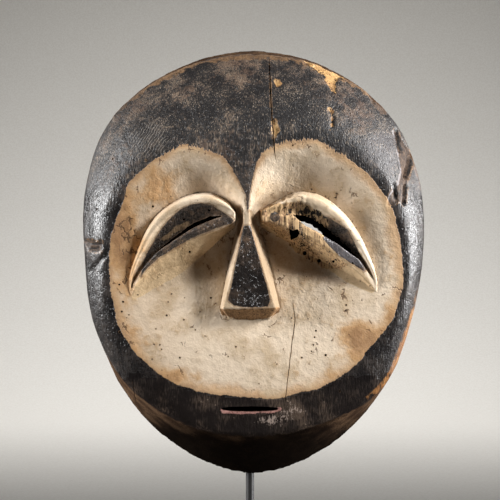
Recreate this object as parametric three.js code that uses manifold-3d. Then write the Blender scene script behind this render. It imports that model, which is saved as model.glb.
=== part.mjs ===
// A carved wooden face mask on its display stand.
// The mask is one hollowed shell of wood: a painted band round a dished face, two crescent eyes
// pierced by slits, a wedge nose and a slot for a mouth. The stand is a foot plate and a bent steel
// rod with a cross bar welded to its end, from which the mask hangs by the inside of its forehead.
// Millimetres, +Z up, the face looks along -Y. The origin is on the surface that the foot stands on.

import * as THREE from "three";
import { mergeVertices } from "three/addons/utils/BufferGeometryUtils.js";
import Module from "manifold-3d";

const wasm = await Module();
wasm.setup();

// Driving dimensions of the stand
const FOOT = { width: 150, depth: 120, thickness: 15, corner: 4, chamfer: 1.2 };
const ROD = { radius: 3.2, behind: 25, bend: 14, socket: 10, sides: 14 };
const CROSS_BAR = { radius: 3, halfLength: 30, depth: 27, height: 290.3 };
const TOUCHING_GAP = 0.3;

// Driving dimensions of the mask, in its own measures:
// x to the viewer's right, z up from the chin's lowest point, depth forward from the flat back
const MASK = { x: 3, chinHeight: 110, middle: 166 };
const BACK_Y = ROD.behind - ROD.radius - TOUCHING_GAP;

// Radii of three closed outlines about the mask's middle, from +x round by +z, evenly spaced:
// the back edge, the crest where the face turns into the side wall, and the dished field's rim
const BACK_EDGE = [131, 141, 155, 162, 165, 163, 158, 142, 131, 133, 144, 157, 166, 156, 142, 131];
const CREST = [129, 139, 153, 159, 160, 159, 155, 140, 129, 131, 133, 132, 130, 131, 136, 128];
const FIELD_RIM = [116, 116, 112, 104, 93, 95, 110, 114, 112, 115, 114, 108, 106, 108, 114, 117];

const CREST_DEPTH = { side: 44, rise: 21 };
const RIM_DEPTH = { side: 62, rise: 5 };
const DISH = { x: -1, z: 186, drop: 21, middle: 67, halfWidth: 76, above: 58, below: 52, lip: 0.33 };
const BAND_POWER = 1.7;
const RIDGE = {
  x: -5.5, top: 258, root: 205, topHalf: 42, rootHalf: 8, topDepth: 67, rootDepth: 68.5, fade: 14,
};
const HOLLOW = { rim: 14, depth: 50, wall: 12, roundness: 4, steepness: 0.6, blend: 3, overrun: 5 };

// Sections of the nose from its root to its tip and its cut underside: [z, middle x, half width, depth]
const NOSE_SECTIONS = [
  [208, -5.5, 2, 68.5],
  [195, -5.6, 2.4, 69],
  [175, -4.8, 7.6, 69.8],
  [150, -4, 14.6, 70.9],
  [130, -3.5, 20.7, 72],
  [121.5, -3.5, 21, 60],
];
const NOSE = { leftFlare: 0.22, rightFlare: 0.3, base: 38 };

// Each eye runs from its outer corner to its inner end. brow and keel are where it meets the dish,
// rim and edge bound its front
const LEFT_EYE = {
  brow: [[-95, 141], [-96, 160], [-80, 195], [-59, 213], [-35, 219], [-19, 211], [-12.5, 198]],
  rim: [[-94, 144], [-92, 161], [-77, 193], [-58, 210], [-36, 215], [-21.5, 209], [-13.5, 199]],
  edge: [[-93, 144], [-88, 155], [-73, 168], [-52, 182], [-28, 190], [-15, 196]],
  keel: [[-94, 141], [-81, 144], [-69, 149], [-56, 156], [-34, 175], [-14, 195]],
  slit: { from: 0.27, to: 0.8, top: 0.56, bottom: 0.7 },
};
const RIGHT_EYE = {
  brow: [[95, 143], [93.5, 161], [77, 194], [56, 214], [35, 220], [17.5, 212], [2, 202]],
  rim: [[94, 145], [90, 161], [74, 191], [54, 210], [35, 216], [19, 209], [3, 201]],
  edge: [[93, 144], [84, 151], [72, 161], [44, 180], [16, 194], [3, 197]],
  keel: [[93, 142], [71, 150], [56, 160], [41, 171], [26, 180], [2, 195]],
  slit: { from: 0.27, to: 0.78, top: 0.42, bottom: 0.62 },
};
const EYE = { outerDepth: 62.5, rise: 6.5, power: 0.7, base: 38, reach: 2.4 };
// How far the front of an eye lies behind its rim, as [share of the way from rim to edge, distance]
const EYE_PROFILE = [[0, 0], [0.3, 4.2], [0.62, 6.5], [0.7, 5], [0.76, 1.2], [0.88, 1], [1, 3.2]];
const MOUTH = { x: -3, z: 48, half: 22, height: 4.2, floor: 52, lean: 0.25 };
const THROUGH = { front: 80, back: 20 };

const FACE_SEGMENTS = 72;
const DISH_RINGS = 10;
const BAND_RINGS = 6;
const WALL_RINGS = 3;
const HOLLOW_SEGMENTS = 60;
const HOLLOW_RINGS = 11;
const EYE_SECTIONS = 20;
const CUT_STEPS = 8;
const BEND_STEPS = 8;

// A smooth closed curve through evenly spaced values
function around(values, angle) {
  const n = values.length;
  const turn = angle / (2 * Math.PI);
  const t = (turn - Math.floor(turn)) * n;
  const i = Math.floor(t);
  const f = t - i;
  const [a, b, c, d] = [-1, 0, 1, 2].map((k) => values[(i + k + n) % n]);
  return b + 0.5 * f * (c - a + f * (2 * a - 5 * b + 4 * c - d + f * (3 * (b - c) + d - a)));
}

const mix = (a, b, t) => a + (b - a) * t;
const clamp01 = (t) => Math.min(1, Math.max(0, t));
const smooth = (t) => clamp01(t) ** 2 * (3 - 2 * clamp01(t));
const softMin = (a, b, k) => (a + b - Math.hypot(a - b, k)) / 2;

// A point of the mask, from its own measures to the part's frame
function place(x, z, depth) {
  return new THREE.Vector3(MASK.x + x, BACK_Y - depth, MASK.chinHeight + z);
}

const crestDepth = (angle) => CREST_DEPTH.side - CREST_DEPTH.rise * Math.sin(angle);
const rimDepth = (angle) => RIM_DEPTH.side + RIM_DEPTH.rise * Math.sin(angle) ** 2;

// How much of the ridge between the brows, from the forehead down to the nose, there is at a point
function ridgeShare(x, z) {
  const rise = clamp01((z - RIDGE.root) / (RIDGE.top - RIDGE.root));
  const across = (x - RIDGE.x) / mix(RIDGE.rootHalf, RIDGE.topHalf, rise);
  const below = Math.max(0, RIDGE.root - z) / RIDGE.fade;
  return Math.exp(-across * across - below * below);
}

// Depth of the dish inside the rim and of the painted band outside it
function dishDepth(angle, radius) {
  const rim = around(FIELD_RIM, angle);
  if (radius > rim) {
    const s = (radius - rim) / (around(CREST, angle) - rim);
    return mix(rimDepth(angle), crestDepth(angle), s ** BAND_POWER);
  }
  const inward = 1 - radius / rim;
  const x = (radius * Math.cos(angle) - DISH.x) / DISH.halfWidth;
  const up = MASK.middle + radius * Math.sin(angle) - DISH.z;
  const z = up / (up > 0 ? DISH.above : DISH.below);
  const carved = DISH.drop * Math.exp(-x * x - z * z) * smooth(inward / DISH.lip);
  return mix(rimDepth(angle), DISH.middle, clamp01(inward / (2 * DISH.lip))) - carved;
}

// The same with the ridge between the brows
function faceDepth(angle, radius) {
  const dish = dishDepth(angle, radius);
  if (radius > around(FIELD_RIM, angle)) return dish;
  const z = MASK.middle + radius * Math.sin(angle);
  const ridge = mix(RIDGE.rootDepth, RIDGE.topDepth, clamp01((z - RIDGE.root) / (RIDGE.top - RIDGE.root)));
  return mix(dish, ridge, ridgeShare(radius * Math.cos(angle), z));
}

// A closed solid through a row of closed loops, each end filled by a fan about its middle
function loft(loops) {
  const count = loops[0].length;
  const middle = (loop) => loop.reduce((s, p) => s.add(p), new THREE.Vector3()).divideScalar(count);
  const points = [...loops.flat(), middle(loops[0]), middle(loops.at(-1))];
  const first = points.length - 2;
  const last = points.length - 1;
  const index = [];
  const end = (loops.length - 1) * count;
  for (let j = 0; j < count; j++) {
    const k = (j + 1) % count;
    index.push(first, k, j, last, end + j, end + k);
    for (let row = 0; row < end; row += count) {
      index.push(row + j, row + k, row + count + k);
      index.push(row + j, row + count + k, row + count + j);
    }
  }
  const geometry = new THREE.BufferGeometry().setFromPoints(points).setIndex(index);
  return solidOf(geometry);
}

// A three.js geometry as a manifold solid with its faces pointing out
function solidOf(geometry) {
  const bare = geometry.clone();
  bare.deleteAttribute("normal");
  bare.deleteAttribute("uv");
  const merged = mergeVertices(bare, 1e-4);
  const vertProperties = Float32Array.from(merged.attributes.position.array);
  const triVerts = Uint32Array.from(merged.index.array);
  const made = new wasm.Manifold(new wasm.Mesh({ numProp: 3, vertProperties, triVerts }));
  if (made.volume() > 0) return made;
  for (let i = 0; i < triVerts.length; i += 3)
    [triVerts[i + 1], triVerts[i + 2]] = [triVerts[i + 2], triVerts[i + 1]];
  return new wasm.Manifold(new wasm.Mesh({ numProp: 3, vertProperties, triVerts }));
}

// A manifold solid as a three.js geometry
function geometryOf(solid) {
  const { numProp, numVert, vertProperties, triVerts } = solid.getMesh();
  const positions = new Float32Array(numVert * 3);
  for (let i = 0; i < numVert; i++)
    positions.set(vertProperties.subarray(i * numProp, i * numProp + 3), i * 3);
  const geometry = new THREE.BufferGeometry();
  geometry.setAttribute("position", new THREE.BufferAttribute(positions, 3));
  geometry.setIndex(new THREE.BufferAttribute(triVerts, 1));
  return geometry;
}

// One loop of the mask about its middle
function faceLoop(segments, radiusAt, depthAt) {
  return Array.from({ length: segments }, (_, i) => {
    const angle = (2 * Math.PI * i) / segments;
    const radius = radiusAt(angle);
    return place(radius * Math.cos(angle), MASK.middle + radius * Math.sin(angle), depthAt(angle, radius));
  });
}

// The block with its dish and painted band carved, before the back is hollowed
function blank() {
  const loops = [];
  for (let i = 1; i <= DISH_RINGS; i++)
    loops.push(faceLoop(FACE_SEGMENTS, (a) => (around(FIELD_RIM, a) * i) / DISH_RINGS, faceDepth));
  for (let i = 1; i <= BAND_RINGS; i++)
    loops.push(
      faceLoop(FACE_SEGMENTS, (a) => mix(around(FIELD_RIM, a), around(CREST, a), i / BAND_RINGS), faceDepth),
    );
  for (let i = 1; i <= WALL_RINGS; i++) {
    const t = i / WALL_RINGS;
    loops.push(
      faceLoop(
        FACE_SEGMENTS,
        (a) => mix(around(CREST, a), around(BACK_EDGE, a), t),
        (a) => crestDepth(a) * (1 - t),
      ),
    );
  }
  return loft(loops);
}

// How deep the hollow reaches at a share of its own radius
function hollowDepth(angle, share, radius) {
  const bowl = HOLLOW.depth * (1 - share ** HOLLOW.roundness) ** HOLLOW.steepness;
  return softMin(bowl, dishDepth(angle, radius) - HOLLOW.wall, HOLLOW.blend);
}

// What the adze takes out of the back
function hollow() {
  const mouthOfHollow = (a) => around(BACK_EDGE, a) - HOLLOW.rim;
  const loops = [faceLoop(HOLLOW_SEGMENTS, mouthOfHollow, () => -HOLLOW.overrun)];
  for (let i = 0; i < HOLLOW_RINGS; i++) {
    const share = Math.cos((Math.PI / 2) * (i / HOLLOW_RINGS) ** 0.8);
    loops.push(
      faceLoop(
        HOLLOW_SEGMENTS,
        (a) => mouthOfHollow(a) * share,
        (a, radius) => Math.max(0, hollowDepth(a, share, radius)),
      ),
    );
  }
  return loft(loops);
}

// The wedge of the nose, from the root down to its cut underside
function nose() {
  const loops = NOSE_SECTIONS.map(([z, middle, half, depth]) => {
    const rise = depth - NOSE.base;
    return [
      place(middle - half - rise * NOSE.leftFlare, z, NOSE.base),
      place(middle - half, z, depth),
      place(middle + half, z, depth),
      place(middle + half + rise * NOSE.rightFlare, z, NOSE.base),
    ];
  });
  return loft(loops);
}

// A point at a share u of the length of a smooth line through [x, z] points
function along(line, u) {
  return new THREE.SplineCurve(line.map(([x, z]) => new THREE.Vector2(x, z))).getPointAt(u);
}

// The front of an eye at a share u of its length and a share t of the way from its rim to its edge
const eyeFront = (eye, u, t) => along(eye.rim, u).lerp(along(eye.edge, u), t);

// The foot of a wall that falls from an eye's front through the point where it meets the dish
function wallFoot(front, depth, meeting) {
  const z = meeting.y - MASK.middle;
  const dish = dishDepth(Math.atan2(z, meeting.x), Math.hypot(meeting.x, z));
  const reach = Math.min(EYE.reach, (depth - EYE.base) / Math.max(1, depth - dish));
  const foot = front.clone().lerp(meeting, reach);
  return place(foot.x, foot.y, EYE.base);
}

// One eye: a front that leans in from the rim to the slit, a lip below the slit and a keel facet
function eyeBall(eye) {
  const loops = [];
  for (let i = 0; i <= EYE_SECTIONS; i++) {
    const u = i / EYE_SECTIONS;
    const depth = EYE.outerDepth + EYE.rise * u ** EYE.power;
    const relief = Math.sin(Math.PI * mix(0.02, 0.96, u)) ** 0.5;
    const front = EYE_PROFILE.map(([t, behind]) => {
      const point = eyeFront(eye, u, t);
      return place(point.x, point.y, depth - behind * relief);
    });
    const edgeDepth = depth - EYE_PROFILE.at(-1)[1] * relief;
    loops.push([
      wallFoot(eyeFront(eye, u, 0), depth, along(eye.brow, u)),
      ...front,
      wallFoot(eyeFront(eye, u, 1), edgeDepth, along(eye.keel, u)),
    ]);
  }
  return loft(loops);
}

// What is cut right through the wood behind an eye's slit
function eyeSlit(eye) {
  const { from, to, top, bottom } = eye.slit;
  const loops = [];
  for (let i = 0; i <= CUT_STEPS; i++) {
    const open = Math.sin(Math.PI * mix(0.12, 0.88, i / CUT_STEPS)) ** 0.6;
    const middle = mix(top, bottom, 0.5);
    const half = ((bottom - top) / 2) * open;
    const u = mix(from, to, i / CUT_STEPS);
    const [high, low] = [-half, half].map((t) => eyeFront(eye, u, middle + t));
    loops.push([
      place(high.x, high.y, THROUGH.front),
      place(low.x, low.y, THROUGH.front),
      place(low.x, low.y, THROUGH.back),
      place(high.x, high.y, THROUGH.back),
    ]);
  }
  return loft(loops);
}

// The mouth is a lens-shaped slot that leans up into the wood and stays blind
function mouthSlot() {
  const loops = [];
  for (let i = 0; i <= CUT_STEPS; i++) {
    const across = mix(-1, 1, i / CUT_STEPS);
    const half = Math.max(0.3, (MOUTH.height / 2) * Math.sqrt(1 - across * across));
    const x = MOUTH.x + across * MOUTH.half;
    const rise = (THROUGH.front - MOUTH.floor) * MOUTH.lean;
    loops.push([
      place(x, MOUTH.z + half, THROUGH.front),
      place(x, MOUTH.z - half, THROUGH.front),
      place(x, MOUTH.z - half + rise, MOUTH.floor),
      place(x, MOUTH.z + half + rise, MOUTH.floor),
    ]);
  }
  return loft(loops);
}

function mask() {
  let wood = blank().add(nose()).add(eyeBall(LEFT_EYE)).add(eyeBall(RIGHT_EYE));
  for (const cut of [hollow(), eyeSlit(LEFT_EYE), eyeSlit(RIGHT_EYE), mouthSlot()]) wood = wood.subtract(cut);
  return wood;
}

// A flat plate with rounded corners and a small chamfer, drilled for the rod
function foot() {
  const { width, depth, thickness, corner, chamfer } = FOOT;
  const shape = new THREE.Shape();
  const x = width / 2 - chamfer;
  const y = depth / 2 - chamfer;
  shape.moveTo(corner - x, -y);
  shape.lineTo(x - corner, -y).absarc(x - corner, corner - y, corner, -Math.PI / 2, 0);
  shape.lineTo(x, y - corner).absarc(x - corner, y - corner, corner, 0, Math.PI / 2);
  shape.lineTo(corner - x, y).absarc(corner - x, y - corner, corner, Math.PI / 2, Math.PI);
  shape.lineTo(-x, corner - y).absarc(corner - x, corner - y, corner, Math.PI, 1.5 * Math.PI);
  const plate = new THREE.ExtrudeGeometry(shape, {
    depth: thickness - 2 * chamfer,
    bevelSize: chamfer,
    bevelThickness: chamfer,
    bevelSegments: 1,
    curveSegments: 5,
  }).translate(0, 0, chamfer);
  const socket = new THREE.CylinderGeometry(
    ROD.radius + TOUCHING_GAP,
    ROD.radius + TOUCHING_GAP,
    ROD.socket * 2,
    ROD.sides,
  )
    .rotateX(Math.PI / 2)
    .translate(0, ROD.behind, thickness);
  return solidOf(plate).subtract(solidOf(socket));
}

// The rod climbs behind the mask, bends and reaches forward to the cross bar inside the hollow
function rod() {
  const top = MASK.chinHeight + CROSS_BAR.height;
  const barY = BACK_Y - CROSS_BAR.depth;
  const ring = (y, z, tilt) =>
    Array.from({ length: ROD.sides }, (_, i) => {
      const angle = (2 * Math.PI * i) / ROD.sides;
      const out = ROD.radius * Math.sin(angle);
      const across = ROD.radius * Math.cos(angle);
      return new THREE.Vector3(across, y + out * Math.cos(tilt), z + out * Math.sin(tilt));
    });
  const loops = [ring(ROD.behind, FOOT.thickness - ROD.socket + TOUCHING_GAP, 0)];
  for (let i = 0; i <= BEND_STEPS; i++) {
    const tilt = ((Math.PI / 2) * i) / BEND_STEPS;
    loops.push(
      ring(ROD.behind - ROD.bend * (1 - Math.cos(tilt)), top - ROD.bend * (1 - Math.sin(tilt)), tilt),
    );
  }
  loops.push(ring(barY, top, Math.PI / 2));
  const straight = 2 * (CROSS_BAR.halfLength - CROSS_BAR.radius);
  const bar = new THREE.CapsuleGeometry(CROSS_BAR.radius, straight, 3, 12)
    .rotateZ(Math.PI / 2)
    .translate(0, barY, top);
  return loft(loops).add(solidOf(bar));
}

const WOOD = new THREE.MeshStandardMaterial({ color: 0xb59a76, roughness: 0.75, metalness: 0 });
const BLACK_STEEL = new THREE.MeshStandardMaterial({ color: 0x17171a, roughness: 0.5, metalness: 0.6 });

function named(name, geometry, material) {
  const mesh = new THREE.Mesh(geometry, material);
  mesh.name = name;
  return mesh;
}

const maskOnStand = new THREE.Group();
maskOnStand.add(
  named("mask", geometryOf(mask()), WOOD),
  named("stand_rod", geometryOf(rod()), BLACK_STEEL),
  named("stand_foot", geometryOf(foot()), BLACK_STEEL),
);

export default maskOnStand;
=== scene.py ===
# %% [markdown]
# # A carved and painted face mask on its display stand
# The mask is one block of wood: a dished face inside a black band, two crescent eyes cut through
# by slits, a wedge nose and a slot for a mouth, hollowed out from behind. It hangs on a bent steel
# rod with a cross bar, and the rod stands in a steel foot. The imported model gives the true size
# and place of all three, and this script gives them their carved surface and their paint.

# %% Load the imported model
import math

import bmesh
import bpy
import numpy as np
from mathutils import Matrix, Vector, noise


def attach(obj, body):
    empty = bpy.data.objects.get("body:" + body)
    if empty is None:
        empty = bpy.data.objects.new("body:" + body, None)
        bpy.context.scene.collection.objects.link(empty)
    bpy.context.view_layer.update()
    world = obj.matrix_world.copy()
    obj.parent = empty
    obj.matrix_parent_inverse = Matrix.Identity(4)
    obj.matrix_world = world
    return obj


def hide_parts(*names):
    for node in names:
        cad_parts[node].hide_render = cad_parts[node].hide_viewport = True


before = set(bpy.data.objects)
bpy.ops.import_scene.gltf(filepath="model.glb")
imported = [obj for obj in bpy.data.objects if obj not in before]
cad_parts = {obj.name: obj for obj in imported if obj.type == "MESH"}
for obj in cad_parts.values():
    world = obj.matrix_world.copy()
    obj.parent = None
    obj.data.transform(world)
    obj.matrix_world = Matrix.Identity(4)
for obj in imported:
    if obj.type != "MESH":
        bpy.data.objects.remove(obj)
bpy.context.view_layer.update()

# %% [markdown]
# ## The mask's own measures
# Carvers measure a mask from its flat back and its chin. So do we: x to the viewer's right, z up
# from the lowest point of the chin, and depth forward from the back, all in millimetres. One
# function turns these into the model's frame in metres, and nothing else has to know about it.

# %% From the mask's measures to the model's frame
# The mask's origin in the model's frame, and the height of the mask's middle above its chin
MM = 0.001
MASK_X = 3.0
CHIN_HEIGHT = 110.0
BACK_Y = 21.5
MIDDLE = 166.0


def place(x, z, depth):
    return Vector((MASK_X + x, BACK_Y - depth, CHIN_HEIGHT + z)) * MM


def own_measures(points):
    """x, z and depth of points that are given in the model's frame."""
    points = np.asarray(points) / MM
    return points[:, 0] - MASK_X, points[:, 2] - CHIN_HEIGHT, BACK_Y - points[:, 1]


def ring(angles, radius, depth):
    """Points all round the mask's middle, at an angle, a radius and a depth each."""
    return [
        place(r * math.cos(a), MIDDLE + r * math.sin(a), d)
        for a, r, d in zip(angles, radius, depth)
    ]


print("the chin is", CHIN_HEIGHT, "mm above the floor")

# %% [markdown]
# ## Outlines that close on themselves
# Three outlines shape the mask: the back edge, the crest where the face turns into the side wall,
# and the rim of the dished field. Each is sixteen radii about the mask's middle, evenly spaced,
# with a smooth closed curve through them, which is how one would set them out with a compass.

# %% Smooth closed outlines
# Radii in millimetres, from the viewer's right anticlockwise
BACK_EDGE = [131, 141, 155, 162, 165, 163, 158, 142, 131, 133, 144, 157, 166, 156, 142, 131]
CREST = [129, 139, 153, 159, 160, 159, 155, 140, 129, 131, 133, 132, 130, 131, 136, 128]
FIELD_RIM = [116, 116, 112, 104, 93, 95, 110, 114, 112, 115, 114, 108, 106, 108, 114, 117]


def curve(a, b, c, d, f):
    """A smooth curve from b to c at share f of the way, bent by its neighbours a and d."""
    return b + 0.5 * f * (c - a + f * (2 * a - 5 * b + 4 * c - d + f * (3 * (b - c) + d - a)))


def around(values, angle):
    """Radius at an angle on the smooth closed curve through evenly spaced radii."""
    values = np.asarray(values, float)
    count = len(values)
    t = np.mod(np.asarray(angle) / (2 * np.pi), 1) * count
    i = np.floor(t).astype(int)
    f = t - i
    return curve(*(values[(i + k) % count] for k in (-1, 0, 1, 2)), f)


def mix(a, b, t):
    return a + (b - a) * t


def smooth(t):
    t = np.clip(t, 0, 1)
    return t * t * (3 - 2 * t)


def soft_min(a, b, k):
    """The smaller of two values, with a soft change of a width k between them."""
    return (a + b - np.hypot(a - b, k)) / 2


width = around(BACK_EDGE, 0) + around(BACK_EDGE, math.pi)
print("the back of the mask is", round(float(width), 1), "mm wide at its middle")

# %% [markdown]
# ## The relief of the face
# The field is dished deepest at the height of the eyes, and a ridge runs from the forehead down
# between the brows to the root of the nose. Outside the rim the painted band falls away to the
# crest, steeply at the forehead and gently at the sides.

# %% Depth of the face at any point
DISH_X, DISH_Z = -1.0, 186.0
DISH_DROP, DISH_MIDDLE = 21.0, 67.0
DISH_HALF_WIDTH, DISH_ABOVE, DISH_BELOW = 76.0, 58.0, 52.0
DISH_LIP = 0.33
BAND_POWER = 1.7
RIDGE_X, RIDGE_TOP, RIDGE_ROOT = -5.5, 258.0, 205.0
RIDGE_TOP_HALF, RIDGE_ROOT_HALF = 42.0, 8.0
RIDGE_TOP_DEPTH, RIDGE_ROOT_DEPTH, RIDGE_FADE = 67.0, 68.5, 14.0


def crest_depth(angle):
    return 44 - 21 * np.sin(angle)


def rim_depth(angle):
    return 62 + 5 * np.sin(angle) ** 2


def dish_depth(angle, radius):
    rim = around(FIELD_RIM, angle)
    outside = np.clip((radius - rim) / (around(CREST, angle) - rim), 0, None)
    band = mix(rim_depth(angle), crest_depth(angle), outside ** BAND_POWER)
    inward = 1 - radius / rim
    x = (radius * np.cos(angle) - DISH_X) / DISH_HALF_WIDTH
    up = MIDDLE + radius * np.sin(angle) - DISH_Z
    z = up / np.where(up > 0, DISH_ABOVE, DISH_BELOW)
    carved = DISH_DROP * np.exp(-x * x - z * z) * smooth(inward / DISH_LIP)
    field = mix(rim_depth(angle), DISH_MIDDLE, np.clip(inward / (2 * DISH_LIP), 0, 1)) - carved
    return np.where(radius > rim, band, field)


def ridge_share(x, z):
    rise = np.clip((z - RIDGE_ROOT) / (RIDGE_TOP - RIDGE_ROOT), 0, 1)
    across = (x - RIDGE_X) / mix(RIDGE_ROOT_HALF, RIDGE_TOP_HALF, rise)
    below = np.maximum(0, RIDGE_ROOT - z) / RIDGE_FADE
    return np.exp(-across * across - below * below)


def face_depth(angle, radius):
    dish = dish_depth(angle, radius)
    x = radius * np.cos(angle)
    z = MIDDLE + radius * np.sin(angle)
    rise = np.clip((z - RIDGE_ROOT) / (RIDGE_TOP - RIDGE_ROOT), 0, 1)
    ridge = mix(RIDGE_ROOT_DEPTH, RIDGE_TOP_DEPTH, rise)
    on_field = radius <= around(FIELD_RIM, angle)
    return np.where(on_field, mix(dish, ridge, ridge_share(x, z)), dish)


print("the middle of the dish stands", round(float(face_depth(0.0, 0.0)), 1), "mm above the back")

# %% [markdown]
# ## One helper for every carved form
# Each form of the mask is a closed skin round a row of sections. Blender's grid operator makes a
# flat sheet of the right number of columns and rows, every point of the sheet is moved to its
# place, and merging the doubles closes the seam and the two ends. It works for the block, for an
# eye, for the nose and for every cut, so it is written once.

# %% A closed skin from a grid
def add_mesh(name, shape):
    """A new object from a bmesh, which is freed."""
    mesh = bpy.data.meshes.new(name)
    shape.to_mesh(mesh)
    shape.free()
    obj = bpy.data.objects.new(name, mesh)
    bpy.context.scene.collection.objects.link(obj)
    return obj


def skin(name, columns, rows, where):
    """where(column, row) gives each point. The first and last rows should each be one point."""
    shape = bmesh.new()
    bmesh.ops.create_grid(shape, x_segments=columns, y_segments=rows, size=1)
    for vert in shape.verts:
        column = round((vert.co.x + 1) / 2 * columns) % columns
        row = round((vert.co.y + 1) / 2 * rows)
        vert.co = where(column, row)
    bmesh.ops.remove_doubles(shape, verts=shape.verts, dist=1e-7)
    bmesh.ops.dissolve_degenerate(shape, edges=shape.edges, dist=1e-7)
    bmesh.ops.recalc_face_normals(shape, faces=shape.faces)
    return add_mesh(name, shape)


def through_sections(name, sections):
    """A closed skin through a list of sections, each a list of the same number of points."""
    sections = [[Vector(point) for point in section] for section in sections]
    count = len(sections[0])
    first, last = (sum(section, Vector()) / count for section in (sections[0], sections[-1]))
    rows = [[first] * count, *sections, [last] * count]
    return skin(name, count, len(rows) - 1, lambda column, row: rows[row][column])

# %% [markdown]
# ## The block before it is hollowed
# Rings run from the middle of the field out over the rim, the band and the crest, down the side
# wall and in again across the flat back.

# %% Carve the block
BLOCK_SEGMENTS = 200
DISH_RINGS, BAND_RINGS, WALL_RINGS = 40, 10, 10


def block_ring(row, angle):
    """Radius and depth of one ring of the block at an angle."""
    rim, crest, back = (around(line, angle) for line in (FIELD_RIM, CREST, BACK_EDGE))
    if row <= DISH_RINGS:
        radius = rim * row / DISH_RINGS
        return radius, face_depth(angle, radius)
    if row <= DISH_RINGS + BAND_RINGS:
        radius = mix(rim, crest, (row - DISH_RINGS) / BAND_RINGS)
        return radius, face_depth(angle, radius)
    down = (row - DISH_RINGS - BAND_RINGS) / WALL_RINGS
    if down <= 1:
        return mix(crest, back, down), crest_depth(angle) * (1 - down)
    return 0 * angle, 0 * angle


def block():
    rows = DISH_RINGS + BAND_RINGS + WALL_RINGS + 1
    angles = np.arange(BLOCK_SEGMENTS) * 2 * np.pi / BLOCK_SEGMENTS
    rings = []
    for row in range(rows + 1):
        radius, depth = block_ring(row, angles)
        rings.append(ring(angles, radius, depth))
    return skin("block", BLOCK_SEGMENTS, rows, lambda column, row: rings[row][column])

# %% [markdown]
# ## The eyes
# Each eye is a crescent that stands up from the dish. Four lines along its length give its shape:
# the brow and the keel, where it meets the dish, and the rim and the edge, which bound its front.
# The front leans in from the rim to the slit, comes forward again as a lip under the slit, and
# then turns under to the keel.

# %% The eyes' lines
# x and z of each line's points, from the outer corner to the inner end
LEFT_EYE = {
    "brow": [(-94.5, 135), (-96, 157), (-80, 195), (-59, 213), (-35, 219), (-20, 212.5), (-12.5, 203)],
    "rim": [(-93.5, 138), (-92.5, 158), (-77, 193), (-58, 210), (-36, 215), (-21.5, 210), (-14, 203)],
    "edge": [(-92.5, 138.5), (-88, 151.5), (-73, 168), (-52, 182), (-28, 190), (-14, 196.5)],
    "keel": [(-93.5, 135), (-81, 142), (-69, 149), (-56, 156), (-34, 175), (-14, 193)],
}
RIGHT_EYE = {
    "brow": [(94.5, 140.5), (93.5, 161), (77, 194), (56, 214), (35, 220), (17.5, 213), (3, 206)],
    "rim": [(93.5, 142.5), (90, 161), (74, 191), (54, 210), (35, 216), (19, 210.5), (5, 204.5)],
    "edge": [(92.5, 142), (84, 151), (72, 161), (44, 180), (18, 193), (5.5, 196.5)],
    "keel": [(92.5, 140), (71, 150), (56, 160), (41, 171), (26, 180), (4, 193)],
}

# The slits: share along the eye, shares from rim to edge of the two sides, lean towards the back
LEFT_SLIT = [
    (0.38, 0.75, 0.78, 0.5), (0.49, 0.74, 0.84, 0.5), (0.6, 0.71, 0.83, 0.5), (0.68, 0.64, 0.78, 0.5),
    (0.75, 0.6, 0.74, 0.5), (0.82, 0.57, 0.7, 0.5), (0.89, 0.6, 0.64, 0.5),
]
RIGHT_SLIT = [
    (0.26, 0.43, 0.46, 0.6), (0.32, 0.44, 0.56, 0.6), (0.42, 0.45, 0.63, 0.6), (0.53, 0.48, 0.69, 0.5),
    (0.6, 0.48, 0.7, 0.25), (0.67, 0.48, 0.71, 0.2), (0.74, 0.5, 0.63, 0.2), (0.78, 0.52, 0.56, 0.4),
]


def spline(points, steps=240):
    """Points at even steps along a smooth open curve through the given ones."""
    points = np.asarray(points, float)
    padded = np.vstack([2 * points[0] - points[1], points, 2 * points[-1] - points[-2]])
    t = np.linspace(0, len(points) - 1, steps)
    i = np.minimum(t.astype(int), len(points) - 2)
    f = (t - i)[:, None]
    line = curve(*(padded[i + k] for k in range(4)), f)
    length = np.concatenate([[0], np.cumsum(np.hypot(*np.diff(line, axis=0).T))])
    even = np.linspace(0, length[-1], steps)
    return np.column_stack([np.interp(even, length, line[:, k]) for k in range(2)])


def at_share(line, share):
    """The point at a share of the way along an evenly stepped line."""
    t = np.clip(share, 0, 1) * (len(line) - 1)
    steps = np.arange(len(line))
    return np.array([np.interp(t, steps, line[:, k]) for k in range(2)])


for eye in (LEFT_EYE, RIGHT_EYE):
    for line in eye:
        eye[line] = spline(eye[line])
print("the left eye is", round(float(np.ptp(LEFT_EYE["brow"][:, 0])), 1), "mm wide")

# %% [markdown]
# ## One eye from its lines
# At every step along the eye a section crosses its front, from rim to edge, and a wall falls from
# either side to well below the dish. The front's hollow is full in the middle of the eye and fades
# towards both corners, so the corners stay sharp and closed.

# %% Build an eye
EYE_OUTER_DEPTH, EYE_RISE, EYE_POWER = 62.5, 6.5, 0.7
EYE_BASE, EYE_REACH = 38.0, 2.4
EYE_SECTIONS = 60
# Shares along the eye between which its front is hollow, and how sharply the hollow begins
HOLLOW_STARTS, HOLLOW_STOPS, HOLLOW_POWER = 0.02, 0.96, 0.8


def eye_front(eye, u, t):
    """The point of an eye's front at shares u along it and t from its rim to its edge."""
    return mix(at_share(eye["rim"], u), at_share(eye["edge"], u), t)


def wall_foot(front, depth, meeting):
    """The foot of a wall that falls from the front through the point where it meets the dish."""
    x, z = meeting[0], meeting[1] - MIDDLE
    dish = float(dish_depth(math.atan2(z, x), math.hypot(x, z)))
    reach = min(EYE_REACH, (depth - EYE_BASE) / max(1, depth - dish))
    foot = mix(front, meeting, reach)
    return place(foot[0], foot[1], EYE_BASE)


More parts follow.
